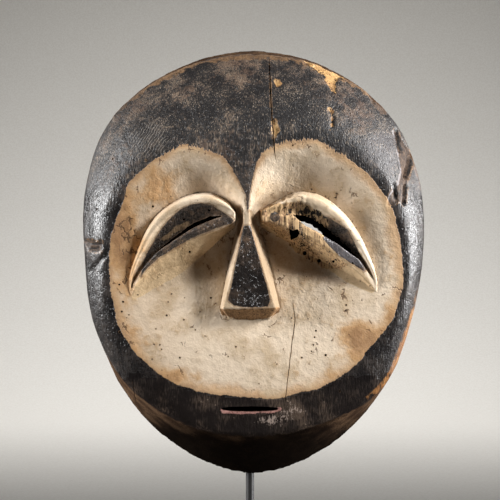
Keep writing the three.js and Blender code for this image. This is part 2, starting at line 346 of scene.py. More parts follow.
def eye_profile(lid):
    """Shares across an eye and how far it lies back: rounded rim, hollow face, fold and lower lid."""
    rim = [(0, 0.8), (0.05, 0), (0.17, 0.2), (0.27, 3.2)]
    return rim + [(lid - 0.15, 6.2), (lid - 0.04, 5), (lid + 0.01, 1.2), (0.91, 0.9), (1, 3.2)]


def eye_ball(name, eye, slit_sides):
    along, _, low, _ = np.array(slit_sides).T
    sections = []
    for u in np.linspace(0, 1, EYE_SECTIONS + 1):
        depth = EYE_OUTER_DEPTH + EYE_RISE * u ** EYE_POWER
        lid = float(np.interp(u, along, low))
        relief = math.sin(math.pi * mix(HOLLOW_STARTS, HOLLOW_STOPS, u)) ** HOLLOW_POWER
        front = []
        for t, behind in eye_profile(lid):
            x, z = eye_front(eye, u, t)
            front.append(place(x, z, depth - behind * relief))
        edge_depth = depth - eye_profile(lid)[-1][1] * relief
        brow_foot = wall_foot(eye_front(eye, u, 0), depth, at_share(eye["brow"], u))
        keel_foot = wall_foot(eye_front(eye, u, 1), edge_depth, at_share(eye["keel"], u))
        sections.append([brow_foot, *front, keel_foot])
    return through_sections(name, sections)


print("an eye has", EYE_SECTIONS + 1, "sections")

# %% [markdown]
# ## The nose
# A wedge with a flat front and two flat sides, cut off square at its tip. Six sections are enough,
# because its edges are straight.

# %% Build the nose
# z, middle, half width and depth of each section
NOSE_SECTIONS = [
    (208, -5.5, 2, 68.5),
    (195, -5.6, 2.4, 69),
    (175, -4.8, 7.6, 69.8),
    (150, -4, 14.6, 70.9),
    (131, -3.5, 19.8, 72),
    (121.5, -3.5, 14.5, 60),
]
NOSE_LEFT_FLARE, NOSE_RIGHT_FLARE, NOSE_BASE = 0.22, 0.3, 38.0


def nose():
    sections = []
    for z, middle, half, depth in NOSE_SECTIONS:
        rise = depth - NOSE_BASE
        sections.append([
            place(middle - half - rise * NOSE_LEFT_FLARE, z, NOSE_BASE),
            place(middle - half, z, depth),
            place(middle + half, z, depth),
            place(middle + half + rise * NOSE_RIGHT_FLARE, z, NOSE_BASE),
        ])
    return through_sections("nose", sections)


print("the nose is", NOSE_SECTIONS[0][0] - NOSE_SECTIONS[-1][0], "mm long")

# %% [markdown]
# ## From smooth forms to one carved block
# Each form is remeshed on its own, finely where the carving is fine, so the eyes and the nose
# get small faces and the broad block larger ones. A few rounds of smoothing take the steps out
# of the net and the machine-sharp look off every ridge.

# %% Remesh and smooth a form
# Sizes of the nets in millimetres
BLOCK_NET, FINE_NET = 1.65, 0.9


def apply_modifiers(obj):
    graph = bpy.context.evaluated_depsgraph_get()
    mesh = bpy.data.meshes.new_from_object(obj.evaluated_get(graph))
    obj.modifiers.clear()
    obj.data = mesh


def remeshed(obj, net, rounds):
    modifier = obj.modifiers.new("even net", "REMESH")
    modifier.mode = "VOXEL"
    modifier.voxel_size = net * MM
    apply_modifiers(obj)
    shape = bmesh.new()
    shape.from_mesh(obj.data)
    for _ in range(rounds):
        bmesh.ops.smooth_vert(
            shape, verts=shape.verts, factor=0.5, use_axis_x=True, use_axis_y=True, use_axis_z=True,
        )
    shape.to_mesh(obj.data)
    shape.free()
    print(obj.name, "has", len(obj.data.vertices), "points")
    return obj


wood_block = remeshed(block(), BLOCK_NET, 3)
left_eye = remeshed(eye_ball("left_eye", LEFT_EYE, LEFT_SLIT), FINE_NET, 2)
right_eye = remeshed(eye_ball("right_eye", RIGHT_EYE, RIGHT_SLIT), FINE_NET, 2)
nose_wedge = remeshed(nose(), FINE_NET, 2)

# %% [markdown]
# ## Distances to drawn outlines
# Damage and paint both follow outlines seen from the front. A signed distance, positive inside,
# says for any point how far it lies within an outline, and a shader or a chisel can then fade,
# break up or step the edge as it likes. The outlines are drawn as a viewer sees them from 1.6
# metres away, so every point is first taken to where that viewer sees it. The camera's lens is a
# little longer than the one that the outlines were drawn for, and as_seen allows for that.

# %% Signed distance to an outline and distance to a line
FACE_HEIGHT = 0.285
VIEWER = Vector((0.0, -1.625, FACE_HEIGHT))
LENS, DRAWN_LENS = 151.5, 150.0


def as_seen(points):
    """x and z of points where the viewer sees them against the upright plane through y = 0."""
    offset = np.asarray(points) - np.array(VIEWER)
    seen = offset * (LENS / DRAWN_LENS * -VIEWER.y / offset[:, 1:2]) + np.array(VIEWER)
    x, z, _ = own_measures(seen)
    return x, z


def to_line(x, z, line, closed=False):
    """Distance of points from a line through points, in the plane of the face."""
    line = np.asarray(line, float)
    ends = np.roll(line, -1, axis=0) if closed else line[1:]
    starts = line if closed else line[:-1]
    nearest = np.full(len(x), np.inf)
    for (ax, az), (bx, bz) in zip(starts, ends):
        dx, dz = bx - ax, bz - az
        t = np.clip(((x - ax) * dx + (z - az) * dz) / max(dx * dx + dz * dz, 1e-9), 0, 1)
        nearest = np.minimum(nearest, np.hypot(x - ax - t * dx, z - az - t * dz))
    return nearest


def inside(x, z, outline):
    """Signed distance to a closed outline: positive inside, negative outside."""
    line = np.asarray(outline, float)
    within = np.zeros(len(x), bool)
    for (ax, az), (bx, bz) in zip(line, np.roll(line, -1, axis=0)):
        crosses = (az > z) != (bz > z)
        with np.errstate(divide="ignore", invalid="ignore"):
            at = ax + (z - az) * (bx - ax) / (bz - az)
        within ^= crosses & (x < at)
    distance = to_line(x, z, line, closed=True)
    return np.where(within, distance, -distance)


def inside_any(x, z, outlines):
    """Signed distance to the nearest of several outlines."""
    return np.maximum.reduce([inside(x, z, outline) for outline in outlines])


def blobs(x, z, spots):
    """Soft spots that fade all round: how strong, where, how wide and how high."""
    return sum(
        most * np.exp(-((x - cx) / wide) ** 2 - ((z - cz) / high) ** 2)
        for most, cx, cz, wide, high in spots
    )


def rounded(outline, steps=6):
    """A closed outline with a smooth curve through its corners."""
    corners = [np.roll(np.asarray(outline, float), -k, axis=0) for k in (-1, 0, 1, 2)]
    line = [curve(*corners, f) for f in np.arange(steps) / steps]
    return np.stack(line, axis=1).reshape(-1, 2)

# %% [markdown]
# ## Marks of the adze and the knife
# Every carved surface is a patchwork of shallow scoops. Voronoi cells give just that: the
# distance from the middle of a cell makes a bowl, and neighbouring bowls meet in a ridge. A slow
# noise on top keeps any part from being truly flat.

# %% Move points along their normals
def points_of(obj):
    values = np.empty(len(obj.data.vertices) * 3)
    obj.data.vertices.foreach_get("co", values)
    return values.reshape(-1, 3)


def normals_of(obj):
    values = np.empty(len(obj.data.vertices) * 3)
    obj.data.vertices.foreach_get("normal", values)
    return values.reshape(-1, 3)


def move_out(obj, distance):
    """Moves every point along its normal by its own distance in millimetres."""
    moved = points_of(obj) + normals_of(obj) * (np.asarray(distance) * MM)[:, None]
    obj.data.vertices.foreach_set("co", moved.ravel())
    obj.data.update()


def scoops(obj, size):
    """1 in the middle of a tool mark of a size in millimetres, falling to 0 at its edge."""
    scaled = points_of(obj) / (np.array(size) * MM)
    from_middle = np.array([noise.voronoi(Vector(p))[0][0] for p in scaled])
    return np.clip(1 - from_middle ** 2, 0, 1)


def ripple(obj, size, octaves=2):
    """Slow noise between about -1 and 1 with waves of a size in millimetres."""
    scaled = points_of(obj) / (np.array(size) * MM)
    return np.array([noise.fractal(Vector(p), 1.0, 2.0, octaves) for p in scaled])

# %% [markdown]
# ## What age has done to the block
# Paint and wood have flaked from the right temple and from the top edge, a knot has burnt or
# rotted out of the left edge, and deep grooves run along the right edge.

# %% Losses and grooves of the block
TEMPLE_LOSS = [
    (108.4, 268), (111, 257), (113, 245), (114.7, 236), (112.3, 226.6), (106, 218), (103.7, 211),
    (108.4, 209), (114, 214), (117, 210), (118.6, 222), (120, 231), (121.7, 241), (122.5, 249),
    (119.3, 255), (115.4, 261), (111.5, 267),
]
TOP_CHIP = [
    (38.5, 323.3), (46.3, 320.1), (55.4, 317.5), (67.1, 312.9), (69.9, 308.8), (66.6, 309.7), (64, 306.4),
    (63.7, 297.1), (60.6, 299.1), (57.3, 305.1), (54.1, 311.6), (47.6, 315.8), (41.1, 320.1),
]
RIGHT_CHIP = [
    (89.8, 298.6), (93.1, 294.7), (97, 290.8), (102.2, 285), (104.8, 279.1), (99.6, 281.1), (95, 285.6),
    (91.8, 289.5),
]
STREAK = [(58, 286), (61, 285), (63, 279), (61.5, 271), (59.5, 269), (60.5, 277)]
HIGH_CRACK_CHIP = [(15, 307), (20, 308), (22, 304.5), (18, 302.5)]
LOW_CRACK_CHIP = [(13, 276), (17, 277), (21, 268), (16, 262), (14, 268)]
LEFT_BURN = [
    (-133, 181.5), (-128, 183), (-123, 180.6), (-119, 182), (-118, 177), (-121.7, 173.5), (-128, 175),
]
PALE_CHIPS = [TOP_CHIP, STREAK, HIGH_CRACK_CHIP, LOW_CRACK_CHIP]
BROWN_LOSSES = [TEMPLE_LOSS, RIGHT_CHIP, LEFT_BURN]
# The line of each groove, its half width and its depth
GROOVES = [
    ([(122.9, 249.2), (122.5, 243), (120.5, 236), (119.7, 232.8)], 1.5, 4.5),
    ([(119, 225.8), (118.2, 218), (117.8, 211)], 1.0, 3.0),
    ([(111.5, 268.7), (113.1, 257), (115, 253)], 1.3, 2.5),
    ([(110, 225.8), (110.8, 215.7)], 1.6, 2.2),
    ([(-127.1, 158.7), (-120.9, 165.8), (-114.7, 172)], 1.6, 1.2),
    ([(-130, 180.5), (-119, 179)], 0.9, 1.6),
    ([(-129, 176.5), (-121, 176)], 0.7, 1.4),
    ([(92.5, 297), (94.5, 291)], 0.9, 1.8),
]
WRINKLED = [(1, -101, 178, 15, 48), (0.6, 58, 214, 10, 8)]
LOSS_DEPTH, NICK_DEPTH, NICKS_START = 1.2, 1.5, 282.0


def age_the_block(obj):
    x, z, depth = own_measures(points_of(obj))
    radius = np.hypot(x, z - MIDDLE)
    angle = np.arctan2(z - MIDDLE, x)
    seen_x, seen_z = as_seen(points_of(obj))
    rim = around(FIELD_RIM, angle)
    on_field = smooth((rim - radius) / 6 + 0.5)
    past_crest = smooth((crest_depth(angle) - depth - 2) / 8) * (radius > around(CREST, angle) - 4)
    front = smooth(depth / 8) * (1 - past_crest)
    tool_marks = -mix(0.45, 0.12, on_field) * scoops(obj, (10, 10, 15))
    swell = mix(0.5, 0.3, on_field) * ripple(obj, (34, 34, 40)) + 0.12 * ripple(obj, (5, 5, 9), 3)
    wrinkled = blobs(seen_x, seen_z, WRINKLED)
    change = tool_marks + swell + 0.5 * wrinkled * ripple(obj, (4, 4, 9), 2)
    for outline in PALE_CHIPS + BROWN_LOSSES:
        change -= LOSS_DEPTH * smooth(inside(seen_x, seen_z, outline) / 1.2 + 0.5) * front
    top_edge = smooth(1 - abs(radius - around(CREST, angle)) / 5) * smooth((z - NICKS_START) / 14)
    change -= NICK_DEPTH * top_edge * np.clip(ripple(obj, (6, 6, 6), 3) + 0.1, 0, 1)
    for line, half_width, deep in GROOVES:
        across = to_line(seen_x, seen_z, line) / half_width
        change -= deep * np.exp(-across ** 2) * front
    move_out(obj, change * smooth((depth + 1) / 3 + 0.2))


age_the_block(wood_block)
print("tool marks and losses are in the block")

# %% [markdown]
# ## What age has done to the eyes and the nose
# The inner half of the right eye has lost its paint, and the softer wood between its upright
# growth rings has weathered away. The left eye and the nose only show the knife.

# %% Weather the eyes and the nose
def weather(obj, knife, rot=0.0, rot_until=0.0):
    x, z, depth = own_measures(points_of(obj))
    change = -knife * scoops(obj, (5, 5, 7)) + 0.1 * ripple(obj, (4, 4, 8), 3)
    if rot:
        share = smooth((rot_until - x) / 14 + 0.5)
        grain = 0.5 + 0.5 * ripple(obj, (2.6, 6, 16), 3)
        change -= rot * share * np.clip(grain, 0, 1.4)
    move_out(obj, change)


weather(left_eye, 0.2)
weather(right_eye, 0.15, rot=1.1, rot_until=46)
weather(nose_wedge, 0.2)

# %% [markdown]
# ## Cutting with a cutter
# Booleans join the forms and cut them. Every cutter is a closed skin of its own, and the faces
# that it leaves behind keep the cutter's material, so the inside of the mask and the inside of a
# crack can have finishes of their own.

# %% Join and cut
painted_wood = bpy.data.materials.new("painted_wood")
adzed_wood = bpy.data.materials.new("adzed_wood")
# The walls of every cut carry painted shade
cut_walls_painted_shade = bpy.data.materials.new("inside_of_cuts")


def combine(obj, other, operation):
    modifier = obj.modifiers.new(operation.lower(), "BOOLEAN")
    modifier.operation = operation
    modifier.solver = "MANIFOLD"
    modifier.material_mode = "TRANSFER"
    modifier.object = other
    apply_modifiers(obj)
    bpy.data.meshes.remove(other.data)


def dressed(obj, material):
    obj.data.materials.clear()
    obj.data.materials.append(material)
    return obj


mask = dressed(wood_block, painted_wood)
for form in (left_eye, right_eye, nose_wedge):
    combine(mask, dressed(form, painted_wood), "UNION")
mask.name = "carved_mask"
print("the mask has", len(mask.data.polygons), "faces before it is cut")

# %% [markdown]
# ## The hollow
# The back is hollowed to leave a wall of about twelve millimetres, with the scoops of the adze
# left rough. Where the stand's cross bar carries the mask the surface stays as the model has it.

# %% Hollow the back
HOLLOW_RIM, HOLLOW_DEPTH, HOLLOW_WALL = 14.0, 50.0, 12.0
HOLLOW_SEGMENTS, HOLLOW_RINGS = 150, 44
BAR_HALF, BAR_Z = 30.0, 290.3


def hollow():
    angles = np.arange(HOLLOW_SEGMENTS) * 2 * np.pi / HOLLOW_SEGMENTS
    mouth = around(BACK_EDGE, angles) - HOLLOW_RIM
    sections = []
    for i in range(-1, HOLLOW_RINGS):
        share = math.cos(math.pi / 2 * (max(i, 0) / HOLLOW_RINGS) ** 0.8)
        radius = mouth * share
        bowl = HOLLOW_DEPTH * max(0, 1 - share ** 4) ** 0.6
        depth = np.maximum(0, soft_min(bowl, dish_depth(angles, radius) - HOLLOW_WALL, 3))
        if i < 0:
            depth = np.full(len(angles), -5.0)
        sections.append(ring(angles, radius, depth))
    obj = through_sections("hollow", sections)
    x, z, depth = own_measures(points_of(obj))
    by_bar = np.hypot(np.maximum(0, abs(x) - BAR_HALF - 3), z - BAR_Z)
    rough = smooth((by_bar - 4) / 14) * smooth((depth - 1) / 6)
    move_out(obj, 0.9 * rough * scoops(obj, (12, 12, 17)))
    return dressed(obj, adzed_wood)


combine(mask, hollow(), "DIFFERENCE")
print("the mask has", len(mask.data.polygons), "faces with its hollow")

# %% [markdown]
# ## The slits of the eyes
# Both eyes are cut right through, and the cut leans down towards the back, so from the front one
# mostly sees its dark upper wall. The left slit is narrow and pointed at both ends. The right one
# is broader, hardly leans in its outer half, and has an uneven edge.

# %% Cut the slits
SLIT_STEPS, SLIT_DEPTH = 60, 64.0
FRONT, BEHIND = 80.0, 20.0
LEFT_GNAWED, RIGHT_GNAWED = 0.03, 0.07


def slit(name, eye, sides, gnawed):
    sides = np.array(sides)
    sections = []
    for u in np.linspace(sides[0, 0], sides[-1, 0], SLIT_STEPS):
        high, low, lean = (np.interp(u, sides[:, 0], sides[:, k]) for k in (1, 2, 3))
        high -= gnawed * max(0, 0.4 + noise.fractal(Vector((u * 37, 0.3, 0)), 1, 2, 3))
        low += gnawed * 0.3 * noise.fractal(Vector((u * 31, 7.7, 0)), 1, 2, 3)
        corners = []
        for t, depth in ((high, FRONT), (low, FRONT), (low, BEHIND), (high, BEHIND)):
            x, z = eye_front(eye, u, t)
            corners.append(place(x, z + (depth - SLIT_DEPTH) * lean, depth))
        sections.append(corners)
    return dressed(through_sections(name, sections), cut_walls_painted_shade)


combine(mask, slit("left_slit", LEFT_EYE, LEFT_SLIT, LEFT_GNAWED), "DIFFERENCE")
combine(mask, slit("right_slit", RIGHT_EYE, RIGHT_SLIT, RIGHT_GNAWED), "DIFFERENCE")
print("the mask has", len(mask.data.polygons), "faces with its slits")

# %% [markdown]
# ## The rot hole and the mouth
# Neither goes through. Rot has eaten a ragged hole under the right slit that narrows as it goes
# in, and the mouth is a shallow lens that leans up into the wood.

# %% Cut the rot hole and the mouth
ROT_HOLE = [
    (26.5, 191.3), (29, 189.5), (32.7, 190.7), (34, 187.6), (32, 183.8), (29.5, 182.6), (27.7, 180.1),
    (26.5, 181.3), (27, 185.1),
]
MOUTH_X, MOUTH_Z, MOUTH_HALF, MOUTH_HEIGHT = -3.0, 52.2, 21.5, 4.0
MOUTH_FLOOR, MOUTH_LEAN, MOUTH_STEPS = 52.0, 0.25, 33


def rot_hole():
    """The deep dark hole that rot has eaten under the right eye's slit."""
    outline = rounded(ROT_HOLE, 2)
    sections = [[place(x, z, FRONT) for x, z in outline]]
    middle = outline.mean(0)
    for depth, share in ((62.0, 1.0), (56.0, 0.7), (52.0, 0.3)):
        sections.append([place(*mix(middle, point, share), depth) for point in outline])
    return dressed(through_sections("rot_hole", sections), cut_walls_painted_shade)


def mouth():
    sections = []
    for across in np.linspace(-1, 1, MOUTH_STEPS):
        half = max(0.25, MOUTH_HEIGHT / 2 * (1 - across * across) ** 0.4)
        half += 0.25 * noise.noise(Vector((across * 9, 0, 0)))
        x = MOUTH_X + across * MOUTH_HALF
        rise = (FRONT - MOUTH_FLOOR) * MOUTH_LEAN
        top, low = MOUTH_Z + half, MOUTH_Z - half
        sections.append([
            place(x, top, FRONT), place(x, low, FRONT),
            place(x, low + rise, MOUTH_FLOOR), place(x, top + rise, MOUTH_FLOOR),
        ])
    return dressed(through_sections("mouth", sections), cut_walls_painted_shade)


combine(mask, rot_hole(), "DIFFERENCE")
combine(mask, mouth(), "DIFFERENCE")
print("the mask has", len(mask.data.polygons), "faces with its mouth")

# %% [markdown]
# ## Cracks
# Drying has opened two long upright cracks and two short ones. Each is a slender wedge that
# follows the surface, whose depth at any point is found by a ray from the viewer.

# %% Cut the cracks
# The line of each crack, its width and its depth
CRACKS = [
    ([(12.1, 326), (12.5, 311.6), (13.3, 292), (14.8, 268.7), (16.8, 245.3)], 1.1, 7.0),
    ([(30.4, 134), (32, 119.7), (29.6, 101), (27.3, 81.5), (25.5, 66.7), (23.4, 50.3)], 0.8, 4.0),
    ([(3, 45.5), (2.3, 40), (2.6, 35.5)], 0.9, 4.0),
    ([(-94.5, 73.7), (-93.2, 62), (-91.3, 53)], 0.9, 4.0),
]


def on_surface(x, z):
    """Where the viewer's line of sight through a point meets the carved surface."""
    drawn_at = place(x, z, BACK_Y)
    aim = drawn_at.copy()
    aim.x, aim.z = (VIEWER[k] + (drawn_at[k] - VIEWER[k]) * DRAWN_LENS / LENS for k in (0, 2))
    found, point, _, _ = mask.ray_cast(VIEWER, (aim - VIEWER).normalized())
    return [float(v[0]) for v in own_measures([point])] if found else None


def crack(line, width, deep):
    path = [on_surface(x, z) for x, z in spline(line, 2 + int(math.dist(line[0], line[-1]) / 3))]
    path = [point for point in path if point]
    sections = []
    for k, (x, z, depth) in enumerate(path):
        taper = min(1, 0.25 + 0.25 * min(k, len(path) - 1 - k))
        x += 0.35 * noise.noise(Vector((z * 0.21, width, 0)))
        half = width / 2 * taper * (1 + 0.5 * noise.noise(Vector((z * 0.37, 5, width))))
        bottom = depth - deep * taper
        sections.append([
            place(x - half, z, depth + 3), place(x + half, z, depth + 3),
            place(x + 0.08, z, bottom), place(x - 0.08, z, bottom),
        ])
    return through_sections("crack", sections)


for line, width, deep in CRACKS:
    combine(mask, dressed(crack(line, width, deep), cut_walls_painted_shade), "DIFFERENCE")
print("the mask has", len(mask.data.polygons), "faces with its cracks")

# %% [markdown]
# ## Wormholes
# Beetles have left round flight holes. All are cut at once, by one mesh of many short pegs, which
# is far quicker than a cut for each.

# %% Cut the wormholes
# Where beetles left the wood; the large holes have a radius each
WORMHOLES = [
    (-105, 148), (-102, 134.6), (-103, 127), (-97.5, 124.4), (-90.5, 140), (-50, 173.6), (-54, 137.7),
    (-33.5, 137.7), (-68, 124), (-54.6, 120.5), (-45.6, 112.7), (-76.4, 113.5), (-72, 97.5),
    (-73.3, 101), (-14, 99.5), (-57.7, 91), (-104.5, 111), (-122.5, 207), (37.4, 91), (56, 93),
    (18, 86), (4, 70.6), (-110, 246), (-84, 245), (-96, 249), (67, 65), (30.4, 256.6), (-78.8, 209),
    (48.4, 112), (47.4, 107), (46.4, 101), (45, 96), (43, 86), (-20, 92), (72, 132), (90.5, 147),
]
LARGE_HOLES = [
    (39.6, 172.5, 1.7), (50.8, 166.6, 1.6), (62, 166, 1.1), (77.1, 164.7, 0.9), (-54.6, 198.8, 1.0),
    (-34.9, 206, 1.2),
]
HOLE_SIDES, HOLE_DEPTH, SMALLEST_HOLE, LARGEST_HOLE = 8, 4.0, 0.45, 0.95


def wormhole(x, z, radius):
    x, z, surface = on_surface(x, z)
    turns = [2 * math.pi * k / HOLE_SIDES for k in range(HOLE_SIDES)]
    rings = []
    for depth, size in ((surface + 2, 1.0), (surface - HOLE_DEPTH, 0.8)):
        rings.append([
            place(x + radius * size * math.cos(a), z + radius * size * math.sin(a), depth) for a in turns
        ])
    return through_sections("wormhole", rings)


sizes = np.random.default_rng(7).uniform(SMALLEST_HOLE, LARGEST_HOLE, len(WORMHOLES))
holes = [wormhole(x, z, size) for (x, z), size in zip(WORMHOLES, sizes)]
holes += [wormhole(*hole) for hole in LARGE_HOLES]
together = bmesh.new()
for hole in holes:
    together.from_mesh(hole.data)
    bpy.data.meshes.remove(hole.data)
combine(mask, dressed(add_mesh("wormholes", together), cut_walls_painted_shade), "DIFFERENCE")
print("the mask has", len(mask.data.polygons), "faces with its wormholes")

# %% [markdown]
# ## Where each paint lies
# The paint follows outlines too. Each becomes a number at every point of the mesh, in
# millimetres, and the materials below turn these numbers into ragged edges and worn places.
# Stains have no outline, so they are soft spots.

# %% Outlines of the paint
FIELD = rounded([
    (-5.9, 225.8), (-12.6, 231.3), (-23.6, 247.7), (-33.5, 251.2), (-44.5, 255), (-56.2, 256.8),
    (-71.8, 249.2), (-82, 241.4), (-97.5, 227.8), (-100, 217), (-107.6, 198.5), (-111.8, 179),
    (-112.6, 154), (-109, 130), (-103.7, 111), (-85.4, 88), (-62, 71.4), (-44, 65), (-26, 62), (0, 59.7),
    (17.7, 59.3), (35, 63.6), (53, 68), (76.4, 83), (89, 97), (101.4, 112), (107.6, 120.5), (112.3, 134),
    (116.2, 148), (115.4, 170), (112.6, 190), (106.4, 209.4), (96, 226.6), (81, 240.6), (63, 253),
    (46, 261.7), (26.5, 260), (9.4, 253), (2.3, 245), (-3, 236),
])
NOSE_BLACK = [
    (-7.8, 194), (-11, 179), (-14.8, 161), (-18, 145.5), (-20.3, 136), (-15.6, 131.4), (-3, 130),
    (11, 130.7), (12.5, 136), (11, 144), (6.2, 161), (2.3, 175), (-2.7, 194),
]
# The worn facet of the right temple, which carries a painted sheen
TEMPLE_SHEEN = [(83, 262), (98, 270), (111, 268), (115, 241.5), (105, 214.6), (98, 232), (84, 246)]
# The ledge of the paint film at the temple, along which a painted highlight runs
LEDGE_HIGHLIGHT_LINE = TEMPLE_LOSS[:7]
BROW_BLACK = [(-12.6, 231), (-6.2, 218), (-5.5, 205.5), (-4.3, 205.5), (-3.5, 218), (2.3, 245)]
# The right eye's lower lip: black paint, lightened grey by a painted highlight
RIGHT_LIP = [
    (54.3, 187.5), (63.4, 181.6), (71.2, 177.1), (79.7, 170.2), (84.9, 164.7), (86.8, 159.8), (76.4, 164.5),
    (66, 171), (59.5, 177.5), (53.7, 184),
]
LIP = [
    (-27.5, 51), (-24.5, 47.6), (-7, 46.8), (2.6, 46.8), (4.4, 48.6), (6, 47.2), (14.3, 47.4), (22.5, 50.4),
    (21.4, 52.4), (14, 50.6), (0, 50.6), (-22, 51.4),
]
NOSE_TIP = [
    (-26.5, 129.1), (-25.2, 124.9), (-14.8, 121.3), (-1.8, 120.3), (11.2, 122), (20.3, 126.5), (20.8, 130.6),
    (-1.8, 128.8),
]
LEFT_BLACK = [
    (-88.3, 154), (-87.1, 162), (-84.2, 171.4), (-77.7, 182), (-73, 190.2), (-66.6, 198.4),
    (-58.3, 206.1), (-48.9, 210.8), (-40.7, 211.6), (-32.5, 209.6), (-24.3, 204.9), (-17.8, 200.2),
    (-16.1, 197.8), (-17.2, 195.5), (-23.1, 194.3), (-32.5, 190.8), (-41.9, 187.3), (-51.3, 182.6),
    (-59.5, 177.9), (-66.6, 173.7), (-74.8, 168.5), (-83, 160.8),
]
RIGHT_BLACK = [
    (30.3, 202.4), (31.6, 208.3), (41.3, 207.9), (50.4, 203.7), (58.2, 200.5), (66, 195.9),
    (73.2, 190.7), (78.4, 181.6), (83.6, 169.9), (88.8, 160.8), (85.8, 158.5), (76.4, 164.1),
    (66, 171.9), (59.5, 179), (55.6, 186.8), (47.8, 194), (37.4, 197.9),
]
ROTTEN = [
    (4.3, 205), (10.1, 209.6), (24.4, 212.2), (36.1, 212.2), (43.9, 209.6), (53, 203.7), (57.6, 197.9),
    (55.6, 189.4), (53, 184.2), (58.9, 177.1), (66, 169.9), (72.5, 163.4), (66, 159.5), (54.3, 160.8),
    (43.9, 167.3), (32.2, 173.8), (24.4, 182.9), (12.7, 192), (4.9, 197.2),
]
TAN_STREAK = [(-70, 184), (-61, 190.5), (-52, 195.5)]
# Painted shadows that the eyes cast on the cheeks beside the nose, and painted shade in the gap at the left
# eye's inner end
LEFT_EYE_SHADOW = [
    (-8.6, 202), (-17, 189), (-38, 175), (-51.5, 161), (-54.6, 153), (-50, 149), (-30.4, 154),
    (-17, 165), (-9, 183),
]
RIGHT_EYE_SHADOW = [
    (6.2, 201), (11, 189), (28, 176), (45, 167), (59, 158), (70, 148), (59, 148.6), (36, 155),
    (18, 163), (10, 175), (5, 187),
]
LEFT_GAP_SHADE = [(-14.5, 210), (-9.5, 210), (-8, 196), (-9, 184), (-13, 187), (-12, 198)]
# Painted shade on the nose's two sides
NOSE_SIDE_SHADE = [(-7, 206), (-14, 180), (-23, 150), (-31, 128), (23, 128), (15, 160), (6, 180), (0, 206)]
BLACKS = [LEFT_BLACK, RIGHT_BLACK, RIGHT_LIP, NOSE_BLACK, BROW_BLACK]
OUTLINED = {
    "field": FIELD, "nose_black": NOSE_BLACK, "lip_highlight": RIGHT_LIP, "lip": LIP, "nose_tip": NOSE_TIP,
    "nose_side_shade": NOSE_SIDE_SHADE, "rot": ROTTEN,
}
print("the white field is drawn with", len(FIELD), "points")

# %% Soft spots, lines and painted shadows
# How strong each spot is, where its middle is, and how wide and how high it is
SPOTS = {
    "stain": [
        (0.9, -74, 227, 16, 16), (0.9, -96, 106, 12, 16), (0.9, -60, 76, 26, 8), (1.3, 84, 104, 20, 17),
        (0.95, -102, 176, 14, 48), (0.5, 107, 190, 8, 40), (0.7, 108, 122, 9, 16), (0.6, 58, 76, 20, 8),
        (0.5, -108, 200, 9, 26),
    ],
    "hatched": [(1, -80, 261, 20, 17)],
    "bare_edges": [(0.95, 120, 106, 16, 36), (0.6, 92, 72, 18, 14)],
    "burnt": [(1, 43, 203, 13, 6), (0.6, 36, 186, 8, 12)],
    "drips": [(0.9, 13, 42, 14, 7), (0.75, 31, 50, 12, 10)],
}
# A line and its half width; the ledge line carries a painted highlight
STROKES = {"ledge_highlight": (LEDGE_HIGHLIGHT_LINE, 1.4), "tan_streak": (TAN_STREAK, 4)}
# Painted shadows under the eyes and in the gap beside the nose: how strong, the outline, the width of its
# edge, and where the edge begins
PAINTED_SHADOWS = [(0.42, LEFT_EYE_SHADOW, 7, 0.6), (0.6, RIGHT_EYE_SHADOW, 7, 0.6), (0.9, LEFT_GAP_SHADE, 3, 0.5)]
DARKEST_PAINTED_SHADOW = 0.95
KNOB_X, KNOB_Z, KNOB_RADIUS = 16.4, 200.8, 4.0
TEMPLE_FADE = 6.0

print("soft spots:", sum(len(spots) for spots in SPOTS.values()))

# %% [markdown]
# ## Numbers on the mesh
# A material can't know how far a point lies from an outline, or whether it stands on a ridge. Both
# are worked out once, point by point, and written to the mesh as named attributes, which every
# renderer and every exporter reads alike.

# %% Write the numbers
def number(obj, name, values):
    layer = obj.data.attributes.new(name, "FLOAT", "POINT")
    layer.data.foreach_set("value", np.asarray(values, np.float32))


def convexity(obj, rounds):
    """How far each point stands out of its smoothed surroundings, in millimetres."""
    mesh = obj.data
    pairs = np.empty(len(mesh.edges) * 2, int)
    mesh.edges.foreach_get("vertices", pairs)
    a, b = pairs.reshape(-1, 2).T
    start = points_of(obj)
    count = len(start)
    links = np.bincount(a, minlength=count) + np.bincount(b, minlength=count)
    level = start.copy()
    for _ in range(rounds):
        total = np.zeros_like(level)
        for k in range(3):
            total[:, k] = np.bincount(a, level[b, k], count) + np.bincount(b, level[a, k], count)
        level = 0.5 * level + 0.5 * total / np.maximum(links, 1)[:, None]
    return ((start - level) * normals_of(obj)).sum(1) / MM


def wall_numbers(obj):
    """How far each point lies outside the crest, and how far it stands out."""
    x, z, depth = own_measures(points_of(obj))
    radius = np.hypot(x, z - MIDDLE)
    angle = np.arctan2(z - MIDDLE, x)
    wall = radius - around(CREST, angle)
    behind_crest = 0.6 * (crest_depth(angle) - depth) - 1
    wall = np.where(wall > -4, np.maximum(wall, behind_crest), wall)
    number(obj, "wall", wall)
    number(obj, "worn", convexity(obj, 6))
    return wall


def facet_numbers(obj):
    """The undersides of the eyes, between the lower lid and the keel."""
    x, z, _ = own_measures(points_of(obj))
    left = np.vstack([LEFT_EYE["edge"][::8], LEFT_EYE["keel"][::-8]])
    fold = [eye_front(RIGHT_EYE, u, 0.66) for u in np.linspace(0.02, 0.98, 30)]
    right = np.vstack([fold, RIGHT_EYE["keel"][::-8]])
    number(obj, "facet", inside_any(x, z, [left, right]))


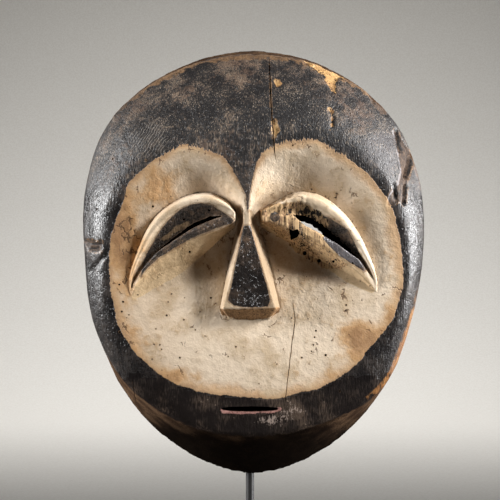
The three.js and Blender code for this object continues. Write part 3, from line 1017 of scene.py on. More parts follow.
def paint_numbers(obj):
    """What the viewer sees drawn on the face."""
    x, z = as_seen(points_of(obj))
    for name, outline in OUTLINED.items():
        number(obj, name, inside(x, z, outline))
    for name, spots in SPOTS.items():
        number(obj, name, blobs(x, z, spots))
    for name, (line, half) in STROKES.items():
        number(obj, name, 1 - to_line(x, z, line) / half)
    knob = KNOB_RADIUS - np.hypot(x - KNOB_X, z - KNOB_Z)
    number(obj, "knob", knob)
    number(obj, "black", np.maximum(inside_any(x, z, BLACKS), knob))
    number(obj, "temple_sheen", inside(x, z, TEMPLE_SHEEN) / TEMPLE_FADE)
    # Painted shadows: the three outlines added up, each with a soft edge
    shadow_sum = sum(most * smooth(inside(x, z, line) / edge + start) for most, line, edge, start in PAINTED_SHADOWS)
    number(obj, "painted_shadow", np.minimum(shadow_sum, DARKEST_PAINTED_SHADOW))


def damage_numbers(obj, wall):
    """Chips and grooves, which stop at the crest."""
    x, z = as_seen(points_of(obj))
    over_crest = 8 * smooth((wall - 1) / 5)
    number(obj, "pale", inside_any(x, z, PALE_CHIPS) - over_crest)
    number(obj, "brown", inside_any(x, z, BROWN_LOSSES) - over_crest)
    groove = np.min([to_line(x, z, line) / half for line, half, _ in GROOVES], axis=0)
    number(obj, "groove", groove + over_crest)


damage_numbers(mask, wall_numbers(mask))
facet_numbers(mask)
paint_numbers(mask)
print("numbers on the mask:", len(mask.data.attributes))

# %% Finish the mask's mesh
mask.data.shade_smooth()
mask.data.set_sharp_from_angle(angle=math.radians(50))
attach(mask, "root")
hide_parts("mask")

# %% [markdown]
# ## Materials as arithmetic
# A paint layer is mostly arithmetic on masks: where it lies, less where it has worn, plus dirt.
# With a small class for sockets this arithmetic reads as such, and every operator adds the node
# that does the sum.

# %% Tones and sums
def tone(red, green, blue):
    """A colour as a picture shows it, 0 to 255, for a shader that works with light."""
    shares = np.array([red, green, blue]) / 255
    light = np.where(shares < 0.04045, shares / 12.92, ((shares + 0.055) / 1.055) ** 2.4)
    return (*light.tolist(), 1.0)


class Value:
    """A socket that takes part in sums."""

    def __init__(self, graph, socket):
        self.graph = graph
        self.socket = socket

    def math(self, operation, first, second=0.0):
        return self.graph.node("ShaderNodeMath", {"operation": operation}, {0: first, 1: second})

    def __add__(self, other):
        return self.math("ADD", self, other)

    def __sub__(self, other):
        return self.math("SUBTRACT", self, other)

    def __mul__(self, other):
        return self.math("MULTIPLY", self, other)

    def __rsub__(self, other):
        return self.math("SUBTRACT", other, self)

    def __or__(self, other):
        """The larger of two masks."""
        return self.math("MAXIMUM", self, other)

    __radd__ = __add__
    __rmul__ = __mul__

    def apart(self):
        """How far from 0, either way."""
        return self.math("ABSOLUTE", self)

    def sine(self):
        return self.math("SINE", self)

    def step(self, middle, width):
        """0 below and 1 above a middle, with a soft edge of a width."""
        limits = {"Value": self, "From Min": middle - width / 2, "From Max": middle + width / 2}
        return self.graph.node("ShaderNodeMapRange", {"interpolation_type": "SMOOTHSTEP"}, limits)


print("mid grey in a picture is", round(tone(128, 128, 128)[0], 3), "of full light")

# %% [markdown]
# ## The nodes of one material
# One method makes any node from its type, its settings and what goes into its sockets. The others
# are short names for the few nodes that this mask needs again and again.

# %% The nodes of one material
class Graph:
    """The nodes of one material."""

    def __init__(self, material):
        material.use_nodes = True
        self.tree = material.node_tree
        self.surface = self.tree.nodes["Principled BSDF"]
        metres = self.node("ShaderNodeTexCoord", output="Object")
        shift = (-MASK_X, -BACK_Y, -CHIN_HEIGHT)
        self.here = self.node(
            "ShaderNodeVectorMath", {"operation": "MULTIPLY_ADD"},
            {0: metres, 1: (1 / MM, 1 / MM, 1 / MM), 2: shift},
        )

    def node(self, kind, settings=None, values=None, output=0):
        node = self.tree.nodes.new(kind)
        for name, setting in (settings or {}).items():
            setattr(node, name, setting)
        for key, value in (values or {}).items():
            self.feed(node.inputs[key], value)
        return Value(self, node.outputs[output])

    def feed(self, socket, value):
        if isinstance(value, Value):
            self.tree.links.new(value.socket, socket)
        else:
            socket.default_value = value

    def number(self, name):
        """A number that was written at every point of the mesh."""
        return self.node("ShaderNodeAttribute", {"attribute_name": name}, output="Fac")

    def axis(self, name):
        """One of the mask's own measures, X or Z, in millimetres."""
        return self.node("ShaderNodeSeparateXYZ", None, {0: self.here}, output=name)

    def scaled(self, size, shift=0.0):
        """Coordinates for a pattern whose spots have a size in millimetres."""
        values = {0: self.here, 1: tuple(1 / s for s in size), 2: (shift, shift, shift)}
        return self.node("ShaderNodeVectorMath", {"operation": "MULTIPLY_ADD"}, values)

    def noise(self, size, detail=3.0, shift=0.0):
        """Cloudy noise, mostly from -1 to 1, with spots of a size in millimetres."""
        values = {"Vector": self.scaled(size, shift), "Scale": 1.0, "Detail": detail}
        return (self.node("ShaderNodeTexNoise", None, values) - 0.5) * 4

    def spots(self, size, shift=0.0):
        """Distance to the nearest of many scattered points, in shares of the size."""
        values = {"Vector": self.scaled(size, shift), "Scale": 1.0}
        return self.node("ShaderNodeTexVoronoi", None, values)

    def over(self, under, colour, mask):
        """A colour laid over another where a mask is 1."""
        return self.node("ShaderNodeMix", {"data_type": "RGBA"}, {0: mask, 6: under, 7: colour}, output=2)

    def finish(self, colour, roughness, relief):
        """Sets the surface; the relief is in millimetres."""
        bump = self.node("ShaderNodeBump", None, {"Distance": MM, "Height": relief})
        self.feed(self.surface.inputs["Base Color"], colour)
        self.feed(self.surface.inputs["Roughness"], roughness)
        self.feed(self.surface.inputs["Normal"], bump)

# %% [markdown]
# ## Patterns that all the paint shares
# From the wood up: brown wood with upright grain, a black stain rubbed into the forehead, the
# band and the eyes, and a thick coat of kaolin on the field. Every layer is broken up by the same
# few noises, from clouds as wide as a thumb to grain as fine as a hair, so all of them wear alike.

# %% Shared patterns
class MaskPaint(Graph):
    """The noises of the mask's paint, and the masks that say where its layers lie."""

    def __init__(self, material):
        super().__init__(material)
        self.x, self.z = self.axis("X"), self.axis("Z")
        self.cloud = self.noise((15, 15, 15), 5)
        self.large = self.noise((48, 48, 48), 2, 3.0)
        self.ragged = self.noise((4.5, 4.5, 4.5), 6, 1.0)
        self.fine = self.noise((1.3, 1.3, 1.3), 4, 2.0)
        self.fibre = self.noise((1.2, 1.2, 15), 4)
        self.strokes = self.noise((0.65, 0.65, 9), 2, 8.0)
        self.streaks = self.noise((1.0, 1.0, 5), 5, 12.0)
        self.worn = self.number("worn")
        self.forehead = (self.z + self.large * 10 + self.cloud * 4).step(222, 30)
        self.field = self.number("field")
        spikes = self.fibre * 2.2 * self.z.step(245, 12)
        broken = self.field + self.ragged * 0.8 + self.cloud * 0.8 + self.fine * 0.3 + spikes
        self.on_field = broken.step(0, 0.6)
        self.black = self.number("black") + self.ragged * 0.5 + self.fine * 0.3
        self.marks = self.black.step(0, 0.5)
        on_knob = (self.number("knob") + self.fine * 0.5).step(0, 0.6)
        self.rot = (self.number("rot") + self.ragged * 1.4).step(0, 0.8) * (1 - on_knob)

    def bare_wood(self, light, middle, dark):
        """Wood in three tones, the darkest in its fibres."""
        colour = self.over(light, middle, (self.fibre * 0.7 + self.cloud * 0.4).step(0, 1))
        return self.over(colour, dark, (self.fibre + self.fine * 0.6).step(0.75, 0.6))

    def crazing(self):
        """Fine curled cracks of the white coat, in groups."""
        lines = 1 - self.noise((11, 11, 14), 4, 21.0).apart().step(0.07, 0.07)
        groups = (self.noise((22, 22, 22), 3, 31.0) + self.ragged * 0.6).step(0.5, 0.35)
        return lines * groups

    def specks(self):
        """Scattered dark specks, in groups."""
        near = (0.17 - self.spots((4.6, 4.6, 4.6))).step(0, 0.05)
        return near * (self.cloud + self.ragged * 0.5).step(0.55, 0.4)

# %% [markdown]
# ## The black stain
# The forehead, the band and the chin are stained black. Dust has greyed the forehead, years of
# handling have scratched it, and low down the stain is rubbed brown, with pale drips at the mouth.
# Each of these is one more layer, laid over the last where its own mask says.

# %% Black stain
def black_stain(g):
    """Old black, dusty and warm on the forehead, thick only in patches."""
    patches = g.cloud * 0.35 + g.large * 0.35 + g.ragged * 0.3
    rubbed = patches + g.streaks * 0.5
    colour = g.over(tone(30, 27, 27), tone(62, 55, 51), (rubbed + 0.1).step(0.3, 1.1))
    sides = (g.x + 8).apart().step(76, 50)
    dusty = rubbed.step(0.32, 0.6) * g.forehead * (1 - sides * 0.7)
    colour = g.over(colour, tone(120, 102, 85), dusty * 0.9)
    pale_dust = (patches + g.fine * 0.4 + g.streaks * 0.2).step(0.85, 0.4) * g.forehead
    colour = g.over(colour, tone(160, 137, 112), pale_dust * 0.75 * (1 - sides))
    warm = (g.large + g.ragged * 0.6 + g.streaks * 0.3).step(0.55, 0.7) * g.forehead
    colour = g.over(colour, tone(86, 64, 51), warm * 0.5)
    thick = (g.noise((12, 12, 17), 6, 41.0) + g.streaks * 0.2 + g.fine * 0.15).step(0.35, 0.16)
    return g.over(colour, tone(27, 24, 24), thick * 0.85)


def scratches(g, colour):
    """Upright and level scratches, and the close curved cuts over the left brow."""
    upright = (g.strokes + g.fine * 0.25 + g.cloud * 0.3).step(0.62, 0.2)
    colour = g.over(colour, tone(158, 142, 124), upright * (g.forehead * 0.6 + 0.06))
    level = (g.noise((5, 1.2, 0.8), 3, 51.0) + g.cloud * 0.3).step(0.85, 0.3)
    colour = g.over(colour, tone(132, 118, 104), level * g.forehead * 0.4)
    region = (g.number("hatched") + g.ragged * 0.25).step(0.6, 0.4)
    colour = g.over(colour, tone(34, 30, 30), region * 0.6)
    rings = (g.x * 0.75 - g.z * 0.5 + g.cloud * 1.6 + g.ragged * 0.5) * 3.4
    hatching = rings.sine().step(0.75, 0.35) * region * (0.75 + g.ragged * 0.3)
    return g.over(colour, tone(166, 156, 144), hatching * 0.5)


def low_stain(g, colour):
    """The stain round the mouth and the chin: rubbed brown, flaked and dripped on."""
    low = 1 - g.z.step(72, 30)
    colour = g.over(colour, tone(42, 36, 33), low * 0.4)
    rubbed_off = (g.cloud * 0.6 + g.large * 0.3 + g.streaks * 0.4).step(0.4, 0.9) * low
    colour = g.over(colour, tone(104, 88, 76), rubbed_off * 0.65)
    flaked = (g.fine * 0.5 + g.ragged * 0.5 + g.cloud * 0.3).step(0.72, 0.25) * low
    colour = g.over(colour, tone(168, 148, 132), flaked * 0.55)
    drips = g.number("drips") + g.fibre * 0.3 + g.fine * 0.3 + g.ragged * 0.2
    return g.over(colour, tone(182, 164, 152), drips.step(0.85, 0.3) * 0.7)

# %% [markdown]
# ## The band and the side wall
# Where the stain is thin the wood shows: along the rim of the forehead, on every worn ridge, and
# on the crest at the lower right. Behind the crest the side wall was never painted.

# %% Band and side wall
def side_wall(g, wall, colour):
    """Brown wood behind the crest, with painted shade under the chin that makes it nearly black."""
    # Painted shade: the wood under the chin, where little light reaches, is painted nearly black
    chin = (g.large * 9 + g.cloud * 5 - g.z).step(-46, 40)
    side = g.bare_wood(tone(98, 77, 59), tone(70, 54, 43), tone(42, 31, 25))
    side = g.over(side, tone(58, 43, 34), (g.cloud + g.ragged * 0.4).step(0, 0.9) * 0.7)
    side = g.over(side, tone(15, 12, 10), chin * 0.96)
    return g.over(colour, side, (wall + g.ragged * 1.3).step(1.2, 2.4))


def band(g):
    """The stain with the wood that shows through it."""
    colour = low_stain(g, scratches(g, black_stain(g)))
    wood = g.bare_wood(tone(132, 102, 72), tone(92, 69, 49), tone(42, 31, 24))
    wall = g.number("wall")
    rim = (wall + g.ragged * 2.2 + g.cloud * 2.2 + g.large).step(-2.2, 1.4)
    colour = g.over(colour, wood, rim * g.z.step(290, 30) * (0.95 - g.fine * 0.3))
    edge = (g.worn + g.ragged * 0.12 + g.cloud * 0.1).step(0.42, 0.16) * g.z.step(75, 30)
    colour = g.over(colour, wood, edge * 0.75)
    # Painted sheen: a pale grey patch where the worn facet of the right temple catches the light
    temple = (g.number("temple_sheen") + g.streaks * 0.25 + g.ragged * 0.15).step(0.4, 0.9)
    colour = g.over(colour, tone(112, 106, 107), temple * 0.2)
    orange = g.bare_wood(tone(190, 138, 84), tone(140, 94, 58), tone(58, 38, 26))
    crest = 1 - (wall + g.ragged * 1.2 + g.cloud * 0.8).apart().step(2.6, 2.0)
    bare = crest * (g.number("bare_edges") + g.fibre * 0.3 + g.ragged * 0.15).step(0.45, 0.3)
    colour = g.over(colour, orange, bare * 0.7)
    return side_wall(g, wall, colour)

# %% [markdown]
# ## Chips and grooves
# The flakes that broke off long ago have turned brown, and the fresher ones are pale and eaten.
# The grooves between the splinters are painted nearly black.

# %% Chips and grooves
def losses(g, colour):
    """Bare wood where the paint has gone, dark in the grooves."""
    brown = g.bare_wood(tone(88, 69, 54), tone(54, 41, 33), tone(24, 18, 15))
    brown = g.over(brown, tone(30, 22, 18), (g.fibre + g.fine * 0.5).step(0.5, 0.5))
    colour = g.over(colour, brown, (g.number("brown") + g.ragged * 0.8).step(0, 0.8))
    pale = g.bare_wood(tone(200, 160, 106), tone(158, 116, 72), tone(82, 55, 34))
    eaten = (g.ragged + g.fine * 0.6 + g.fibre * 0.5).step(0.5, 0.3)
    pale = g.over(pale, tone(66, 42, 27), eaten)
    colour = g.over(colour, pale, (g.number("pale") + g.ragged * 1.7).step(0, 0.8))
    # Painted highlight: a pale line along the raised ledge of the paint film at the temple
    ledge = (g.number("ledge_highlight") + g.ragged * 0.35 + g.fine * 0.2).step(0.55, 0.4)
    colour = g.over(colour, tone(150, 144, 145), ledge * 0.5)
    groove = 1 - (g.number("groove") + g.ragged * 0.35 + g.fibre * 0.2).step(0.8, 0.5)
    return g.over(colour, tone(22, 15, 12), groove)

# %% [markdown]
# ## The white coat
# Kaolin goes on thick and pale. It has taken ochre stains, browned along its broken edge, worn on
# the ridges and crazed. Painted shadows darken it under the eyes and beside the nose, and painted
# shade darkens the nose's sides. The undersides of the eyes have the thinnest coat.

# %% White coat
def kaolin(g):
    """The coat with its stains, before wear."""
    patchy = g.cloud + g.large * 0.6 + g.fine * 0.15
    colour = g.over(tone(226, 206, 181), tone(203, 180, 150), patchy.step(0.1, 1.3))
    mottled = (g.ragged + g.fine * 0.5 + g.cloud * 0.6).step(0.6, 0.9)
    on_left = 1 - g.x.step(-60, 50)
    colour = g.over(colour, tone(176, 146, 112), mottled * 0.4 + on_left * 0.32)
    stain = g.number("stain") + g.cloud * 0.34 + g.ragged * 0.16 + g.large * 0.1
    fringe = 1 - (g.field + g.cloud * 4 + g.large * 4 + g.ragged * 1.5).step(5, 8)
    ochre = (stain.step(0.5, 0.7) | fringe * 0.8) * (0.85 - g.fine * 0.12)
    colour = g.over(colour, tone(194, 149, 98), ochre)
    browned = 1 - (g.field + g.cloud * 3 + g.ragged).step(1.5, 3)
    return g.over(colour, tone(140, 102, 68), (stain.step(0.95, 0.5) | browned * 0.6) * 0.7)


def worn_coat(g, colour):
    """Dirt in the hollows, worn ridges, crazing, painted shade on the nose's sides, and painted shadows
    under the eyes and beside the nose.
    """
    hollow = (g.fine * 0.05 + g.ragged * 0.04 - g.worn).step(0.16, 0.16)
    colour = g.over(colour, tone(112, 84, 58), hollow * 0.7)
    ridge = (g.worn + g.fine * 0.07 + g.ragged * 0.06).step(0.36, 0.12)
    colour = g.over(colour, tone(176, 142, 104), ridge * 0.45)
    colour = g.over(colour, tone(96, 70, 46), g.crazing() * 0.8)
    # Painted shade on the nose's sides, the right side darkened about twice as much as the left
    sides = (g.number("nose_side_shade") + g.ragged).step(0, 2)
    colour = g.over(colour, tone(152, 128, 99), sides * (0.4 + g.x.step(-4, 4) * 0.5))
    # Painted shadows under the eyes and in the gap beside the nose
    painted_shadow = g.number("painted_shadow") * (1 + g.fine * 0.1 + g.cloud * 0.08)
    return g.over(colour, tone(112, 80, 50), painted_shadow)


def facets(g, colour):
    """The undersides of the eyes, the right one eaten."""
    facet = (g.number("facet") + g.ragged * 0.6).step(0.4, 1.0) * g.on_field
    thin = (g.cloud + g.fine * 0.4).step(0.3, 1.2)
    colour = g.over(colour, g.over(tone(214, 184, 142), tone(176, 144, 104), thin), facet * 0.85)
    eaten = (g.ragged * 0.8 + g.fine * 0.6 + g.cloud * 0.3).step(0.75, 0.3) * g.x.step(30, 24)
    return g.over(colour, tone(62, 44, 30), eaten * facet * 0.85)

# %% [markdown]
# ## Eyes, nose and mouth
# The eyes and the nose are blackened over the white coat, with a brown halo where the two meet.
# The inner half of the right eye has rotted to bare striped wood, the nose is worn at its tip, and
# a pink lip shows below the slot of the mouth.

# %% Eyes, nose and mouth
def feature_black(g):
    """The black of the eyes and the nose, worn brown in streaks."""
    streaks = g.cloud * 0.4 + g.fine * 0.35 + g.ragged * 0.4
    colour = g.over(tone(56, 50, 46), tone(132, 106, 84), streaks.step(0.35, 1.1))
    worn = (g.worn + g.fine * 0.12 + g.ragged * 0.14).step(0.42, 0.2)
    colour = g.over(colour, tone(112, 90, 72), worn * 0.8)
    on_nose = g.number("nose_black").step(0, 1) * (1 - g.z.step(172, 40) * 0.7)
    colour = g.over(colour, tone(24, 20, 19), on_nose * (0.85 - g.cloud * 0.2))
    tan = (g.number("tan_streak") + g.ragged * 0.3 + g.fine * 0.2).step(0.5, 0.5)
    colour = g.over(colour, tone(160, 132, 100), tan * 0.75)
    flecks = (g.fine + g.ragged * 0.6 + g.cloud * 0.8).step(2.4, 0.4)
    return g.over(colour, tone(170, 150, 126), flecks * 0.45)


def blackened(g, colour):
    """The blacks with their halo, and the lip under the right slit, lightened grey as a painted highlight.
    """
    halo = (g.black + 1.2 + g.ragged * 0.5).step(0, 0.8) * g.on_field
    colour = g.over(colour, tone(128, 96, 66), halo * 0.55)
    colour = g.over(colour, feature_black(g), g.marks)
    # Painted highlight: the black of the right eye's lower lip is lightened grey
    lip_highlight = g.number("lip_highlight").step(0.3, 0.8)
    return g.over(colour, tone(98, 94, 96), lip_highlight * (0.8 - g.fine * 0.2))


def rotten_wood(g, colour):
    """Bare wood striped by decay, darkest where it has burnt."""
    stripes = (g.fibre * 0.7 + g.cloud * 0.5).step(0, 0.9)
    rotten = g.over(tone(206, 172, 128), tone(142, 110, 80), stripes)
    decay = g.fibre + g.ragged * 0.5 + g.fine * 0.4 + g.number("burnt") * 0.9
    return g.over(colour, g.over(rotten, tone(28, 20, 16), decay.step(0.6, 0.4)), g.rot)


def tip_and_lip(g, colour):
    tip = (g.number("nose_tip") + g.ragged * 0.6).step(0, 0.8) * g.on_field
    colour = g.over(colour, g.bare_wood(tone(160, 124, 84), tone(122, 90, 58), tone(50, 34, 24)), tip)
    lip = (g.number("lip") + g.fine * 0.8 + g.ragged * 0.7).step(0.15, 0.6)
    pink = g.over(tone(196, 148, 138), tone(146, 104, 96), (g.fine + g.cloud * 0.5).step(0.2, 1.2))
    return g.over(colour, pink, lip * 0.9)

# %% [markdown]
# ## All layers together
# The white coat is powdery and stands a little proud of the wood, and the stain has a satin sheen
# that is duller on the forehead, low down and on broken wood. The side wall and the low band have
# no sheen at all, so they wear a second copy of the paint whose specular level is 0, and a face
# takes it where the numbers on the mesh say so.

# %% The whole paint
# The specular level of dull wood, and where it begins: past the crest and above the chin
DULL, WALL_STARTS, DULL_BELOW = 0.0, 2.0, 82.0


def surface(g, colour):
    """Roughness and relief under the finished colour."""
    powdery = g.on_field * (1 - g.marks) | g.rot
    duller = g.forehead * 0.22 + (1 - g.z.step(62, 20)) * 0.3
    duller = duller + g.number("wall").step(0, 2) * 0.25 + g.number("brown").step(0, 1) * 0.3
    satin = 0.3 + g.cloud * 0.06 + g.fine * 0.1 + g.ragged * 0.04 + duller
    pits = (0.24 - g.spots((2.4, 2.4, 3.6), 5.0)).step(0, 0.12) * g.z.step(100, 50)
    wood = g.streaks * 0.1 + g.fibre * 0.06 - pits * 0.2
    coat = 0.25 + g.ragged * 0.06 + g.cloud * 0.12 - g.crazing() * 0.35
    relief = g.fine * 0.06 + g.ragged * 0.12 + g.cloud * 0.12 - g.specks() * 0.3
    relief = relief + wood * (1 - powdery) + g.on_field * coat
    g.finish(colour, satin + (0.88 - satin) * powdery, relief)


def paint(material):
    g = MaskPaint(material)
    colour = g.over(losses(g, band(g)), worn_coat(g, kaolin(g)), g.on_field)
    colour = facets(g, colour)
    colour = g.over(colour, tone(60, 44, 34), g.specks() * g.on_field * 0.85)
    colour = tip_and_lip(g, rotten_wood(g, blackened(g, colour)))
    surface(g, colour)


def set_specular(material, level):
    material.node_tree.nodes["Principled BSDF"].inputs["Specular IOR Level"].default_value = level


def written(obj, name):
    """A number that was written at every point of a mesh, read back."""
    values = np.empty(len(obj.data.vertices))
    obj.data.attributes[name].data.foreach_get("value", values)
    return values


side_wood = bpy.data.materials.new("side_wood")
for material in (painted_wood, side_wood):
    paint(material)
set_specular(side_wood, DULL)
mask.data.materials.append(side_wood)
low_band = own_measures(points_of(mask))[1] + 5 * ripple(mask, (9, 9, 5), 3) < DULL_BELOW
dull = (written(mask, "wall") > WALL_STARTS) | (low_band & (written(mask, "field") < 0))
for face in mask.data.polygons:
    if face.material_index == 0 and all(dull[v] for v in face.vertices):
        face.material_index = len(mask.data.materials) - 1
print("painted wood has", len(painted_wood.node_tree.nodes), "nodes")

# %% [markdown]
# ## The wood inside
# The hollow has never been painted, only darkened by hands and smoke. The walls of the slits and
# cracks are painted almost black, as painted shade.

# %% Unpainted wood
def inner_wood(material, light, dark, roughness):
    g = Graph(material)
    fibre = g.noise((1.4, 1.4, 20), 4)
    cloud = g.noise((18, 18, 18), 4)
    colour = g.over(light, dark, (fibre * 0.6 + cloud * 0.7).step(0, 1.8))
    g.finish(colour, roughness + cloud * 0.05, fibre * 0.08 + cloud * 0.05)


inner_wood(adzed_wood, tone(112, 80, 52), tone(58, 40, 28), 0.7)
# Painted shade: the walls of every slit, crack, hole and mouth are painted nearly black
inner_wood(cut_walls_painted_shade, tone(22, 16, 13), tone(9, 7, 6), 0.95)
set_specular(cut_walls_painted_shade, DULL)
print("wood inside:", adzed_wood.name, "and", cut_walls_painted_shade.name)

# %% [markdown]
# ## The stand
# A round bar is bent over into the hollow and welded to a short cross bar, which carries the mask
# by its inner wall. A ring that is extruded, spun round a quarter turn and extruded again makes
# the bent bar just as a bending tool would.

# %% Bend the rod
# The rod's radius, its distance behind the origin, the radius of its bend, its low end, its sides
ROD_RADIUS, ROD_BEHIND, ROD_BEND, ROD_LOW, ROD_SIDES = 3.2, 25.0, 14.0, 5.3, 28
BAR_RADIUS, BAR_DEPTH, BAR_ROUNDING = 3.0, 27.0, 2.5


def extruded(shape, faces, onward):
    """Extrudes faces by a step in millimetres and returns the new end faces."""
    new = bmesh.ops.extrude_face_region(shape, geom=faces)["geom"]
    points = [item for item in new if isinstance(item, bmesh.types.BMVert)]
    bmesh.ops.translate(shape, verts=points, vec=Vector(onward) * MM)
    return [item for item in new if isinstance(item, bmesh.types.BMFace)]


def disc(shape, radius, middle, turn=None):
    matrix = Matrix.Translation(Vector(middle) * MM) @ (turn or Matrix())
    bmesh.ops.create_circle(shape, cap_ends=True, segments=ROD_SIDES, radius=radius * MM, matrix=matrix)
    return shape.faces[:]


def drawn(shape, rim, onward):
    """Draws a tube on from its open rim and returns the new rim."""
    new = bmesh.ops.extrude_edge_only(shape, edges=rim)["geom"]
    points = [item for item in new if isinstance(item, bmesh.types.BMVert)]
    bmesh.ops.translate(shape, verts=points, vec=Vector(onward) * MM)
    return [edge for edge in shape.edges if edge.verts[0] in points and edge.verts[1] in points]


def bevelled(shape, edges, offset, segments):
    """Rounds edges by an offset in millimetres."""
    bmesh.ops.bevel(
        shape, geom=edges, offset=offset * MM, segments=segments, profile=0.5, affect="EDGES",
        material=-1,
    )
    bmesh.ops.recalc_face_normals(shape, faces=shape.faces)


def bent_rod(top, bar_y):
    shape = bmesh.new()
    start = disc(shape, ROD_RADIUS, (0, ROD_BEHIND, ROD_LOW))
    bmesh.ops.delete(shape, geom=start, context="FACES_ONLY")
    rim = drawn(shape, shape.edges[:], (0, 0, top - ROD_BEND - ROD_LOW))
    centre = Vector((0, ROD_BEHIND - ROD_BEND, top - ROD_BEND)) * MM
    points = list({point for edge in rim for point in edge.verts})
    turned = bmesh.ops.spin(
        shape, geom=rim + points, cent=centre, axis=(1, 0, 0), angle=math.pi / 2, steps=14,
    )
    rim = [item for item in turned["geom_last"] if isinstance(item, bmesh.types.BMEdge)]
    drawn(shape, rim, (0, bar_y - ROD_BEHIND + ROD_BEND, 0))
    bmesh.ops.holes_fill(shape, edges=shape.edges[:], sides=0)
    bmesh.ops.recalc_face_normals(shape, faces=shape.faces)
    return add_mesh("bent_rod", shape)


def cross_bar(top, bar_y):
    shape = bmesh.new()
    start = disc(shape, BAR_RADIUS, (-BAR_HALF, bar_y, top), Matrix.Rotation(math.pi / 2, 4, "Y"))
    ends = start + extruded(shape, start, (2 * BAR_HALF, 0, 0))
    rims = [edge for face in ends if face.is_valid for edge in face.edges]
    bevelled(shape, rims, BAR_ROUNDING, 5)
    return add_mesh("cross_bar", shape)


bar_top, bar_y = CHIN_HEIGHT + BAR_Z, BACK_Y - BAR_DEPTH
rod = bent_rod(bar_top, bar_y)
combine(rod, cross_bar(bar_top, bar_y), "UNION")
rod.name = "bent_steel_rod"
print("the rod has", len(rod.data.polygons), "faces")

# %% [markdown]
# ## The foot
# A flat plate, heavy enough to stand by itself, with rounded corners, a small chamfer all round
# and a socket drilled for the rod. The drill is one more cutter.

# %% Cut and drill the foot
FOOT_WIDTH, FOOT_DEPTH, FOOT_THICKNESS = 150.0, 120.0, 15.0
FOOT_CORNER, FOOT_CHAMFER, SOCKET_DEPTH, SOCKET_GAP = 4.0, 1.2, 10.0, 0.3


def foot_plate():
    shape = bmesh.new()
    size = Matrix.Diagonal((FOOT_WIDTH / 2, FOOT_DEPTH / 2, 1, 1)) * MM
    size[3][3] = 1
    bmesh.ops.create_grid(shape, x_segments=1, y_segments=1, size=1, matrix=size)
    extruded(shape, shape.faces[:], (0, 0, FOOT_THICKNESS))
    upright = [edge for edge in shape.edges if abs(edge.verts[0].co.z - edge.verts[1].co.z) > MM]
    bevelled(shape, upright, FOOT_CORNER, 8)
    flat = [face for face in shape.faces if abs(face.normal.z) > 0.9]
    rims = [edge for face in flat for edge in face.edges]
    bevelled(shape, rims, FOOT_CHAMFER, 3)
    return add_mesh("steel_foot", shape)


def drill():
    shape = bmesh.new()
    start = disc(shape, ROD_RADIUS + SOCKET_GAP, (0, ROD_BEHIND, FOOT_THICKNESS - SOCKET_DEPTH))
    extruded(shape, start, (0, 0, 2 * SOCKET_DEPTH))
    bmesh.ops.recalc_face_normals(shape, faces=shape.faces)
    return add_mesh("drill", shape)


foot = foot_plate()
combine(foot, drill(), "DIFFERENCE")
print("the foot has", len(foot.data.polygons), "faces")

# %% [markdown]
# ## Black steel
# The stand is blackened and waxed: a satin black that is a little greyer and duller where it has
# been handled.

# %% Black steel
def blacken(material):
    g = Graph(material)
    cloud, fine = g.noise((22, 22, 22), 4), g.noise((1.5, 1.5, 1.5), 3)
    colour = g.over(tone(22, 22, 24), tone(42, 41, 41), (cloud + fine * 0.4).step(0.3, 1.4))
    g.finish(colour, 0.42 + cloud * 0.08 + fine * 0.05, fine * 0.02 + cloud * 0.02)


black_steel = bpy.data.materials.new("black_steel")
blacken(black_steel)
for piece, node in ((rod, "stand_rod"), (foot, "stand_foot")):
    dressed(piece, black_steel)
    piece.data.shade_smooth()
    piece.data.set_sharp_from_angle(angle=math.radians(20))
    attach(piece, "root")
    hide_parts(node)
print("blackened:", rod.name, "and", foot.name)

# %% [markdown]
# ## The floor
# A pale sweep of paper, which rises well behind the mask and shows no horizon. A long sheet from
# the grid operator is bent by moving each point to its place along the sweep.

# %% Floor
SWEEP_FRONT, SWEEP_START, SWEEP_RADIUS, SWEEP_END = 3.0, 1.9, 1.0, 3.2
SWEEP_HALF_WIDTH, SWEEP_ROWS = 4.0, 60
FLAT_LENGTH = SWEEP_FRONT + SWEEP_START
BEND_LENGTH = SWEEP_RADIUS * math.pi / 2


def sweep_point(along):
    """Distance back and height of the paper at a length from its front edge, in metres."""
    if along < FLAT_LENGTH:
        return along - SWEEP_FRONT, 0.0
    turn = (along - FLAT_LENGTH) / SWEEP_RADIUS
    if turn < math.pi / 2:
        return SWEEP_START + SWEEP_RADIUS * math.sin(turn), SWEEP_RADIUS * (1 - math.cos(turn))
    return SWEEP_START + SWEEP_RADIUS, SWEEP_RADIUS + along - FLAT_LENGTH - BEND_LENGTH


def paper_sweep():
    shape = bmesh.new()
    length = FLAT_LENGTH + BEND_LENGTH + SWEEP_END
    bmesh.ops.create_grid(shape, x_segments=1, y_segments=SWEEP_ROWS, size=1)
    for vert in shape.verts:
        back, height = sweep_point((vert.co.y + 1) / 2 * length)
        vert.co = (vert.co.x * SWEEP_HALF_WIDTH, back, height)
    return add_mesh("paper_sweep", shape)


def pale_paper():
    paper = bpy.data.materials.new("paper")
    g = Graph(paper)
    grain = g.noise((3, 3, 3), 3)
    colour = g.over(tone(222, 219, 213), tone(214, 210, 203), grain.step(0, 1.5))
    g.finish(colour, 0.9 + grain * 0.02, grain * 0.02)
    return paper


floor = dressed(paper_sweep(), pale_paper())
floor.data.shade_smooth()
print("the paper has", len(floor.data.polygons), "faces")

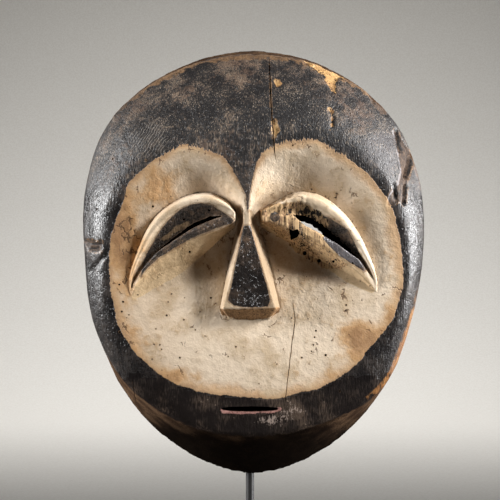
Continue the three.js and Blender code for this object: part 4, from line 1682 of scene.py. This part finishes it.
# %% [markdown]
# ## Camera and light
# The camera stands square to the face at its mid height. Soft lights with a narrow beam stand on
# both sides. They rake the relief and put a sheen on the black band, and a lamp of its own lights
# the paper.

# %% Camera
camera = bpy.data.objects.new("camera", bpy.data.cameras.new("camera"))
bpy.context.scene.collection.objects.link(camera)
camera.data.lens = LENS
camera.location = VIEWER
camera.rotation_euler = (math.pi / 2, 0, 0)
bpy.context.scene.camera = camera
print("the camera looks from", [round(value, 3) for value in camera.location])

# %% Lights
MIDDLE_OF_FACE = (0, 0, FACE_HEIGHT)
LAMP_DISTANCE = 1.4
# Each lamp's name, its width and height in metres, its power, and its degrees to the side and up
LAMPS = [
    ("right high", (0.2, 0.4), 1.18, 70, 30),
    ("right low", (0.35, 0.6), 1.1, 80, 2),
    ("right rim", (0.15, 0.6), 0.8, 103, 8),
    ("left rim", (0.2, 0.6), 0.4, -95, 12),
    ("left low", (0.2, 0.6), 1.4, -79, 15),
]


def soft_light(name, size, power, location, target, beam=32):
    data = bpy.data.lights.new(name, "AREA")
    data.shape = "RECTANGLE"
    data.size, data.size_y = size
    data.energy = power
    data.spread = math.radians(beam)
    light = bpy.data.objects.new(name, data)
    bpy.context.scene.collection.objects.link(light)
    light.location = location
    aim = Vector(target) - Vector(location)
    light.rotation_euler = aim.to_track_quat("-Z", "Y").to_euler()


def toward(side, height, distance):
    """A place at angles to the side and above the face's middle, at a distance from it."""
    side, height = math.radians(side), math.radians(height)
    flat = distance * math.cos(height)
    rise = FACE_HEIGHT + distance * math.sin(height)
    return (flat * math.sin(side), -flat * math.cos(side), rise)


soft_light("paper lamp", (1.6, 0.8), 15, (0, 1.7, 2.0), (0, 2.0, 0.0), 95)
for name, size, power, side, height in LAMPS:
    soft_light(name, size, power, toward(side, height, LAMP_DISTANCE), MIDDLE_OF_FACE)
world = bpy.data.worlds.new("world")
world.use_nodes = True
world.node_tree.nodes["Background"].inputs[0].default_value = (0.045, 0.045, 0.045, 1)
bpy.context.scene.world = world
bpy.context.scene.view_settings.view_transform = "Standard"
print("lamps:", 1 + len(LAMPS))
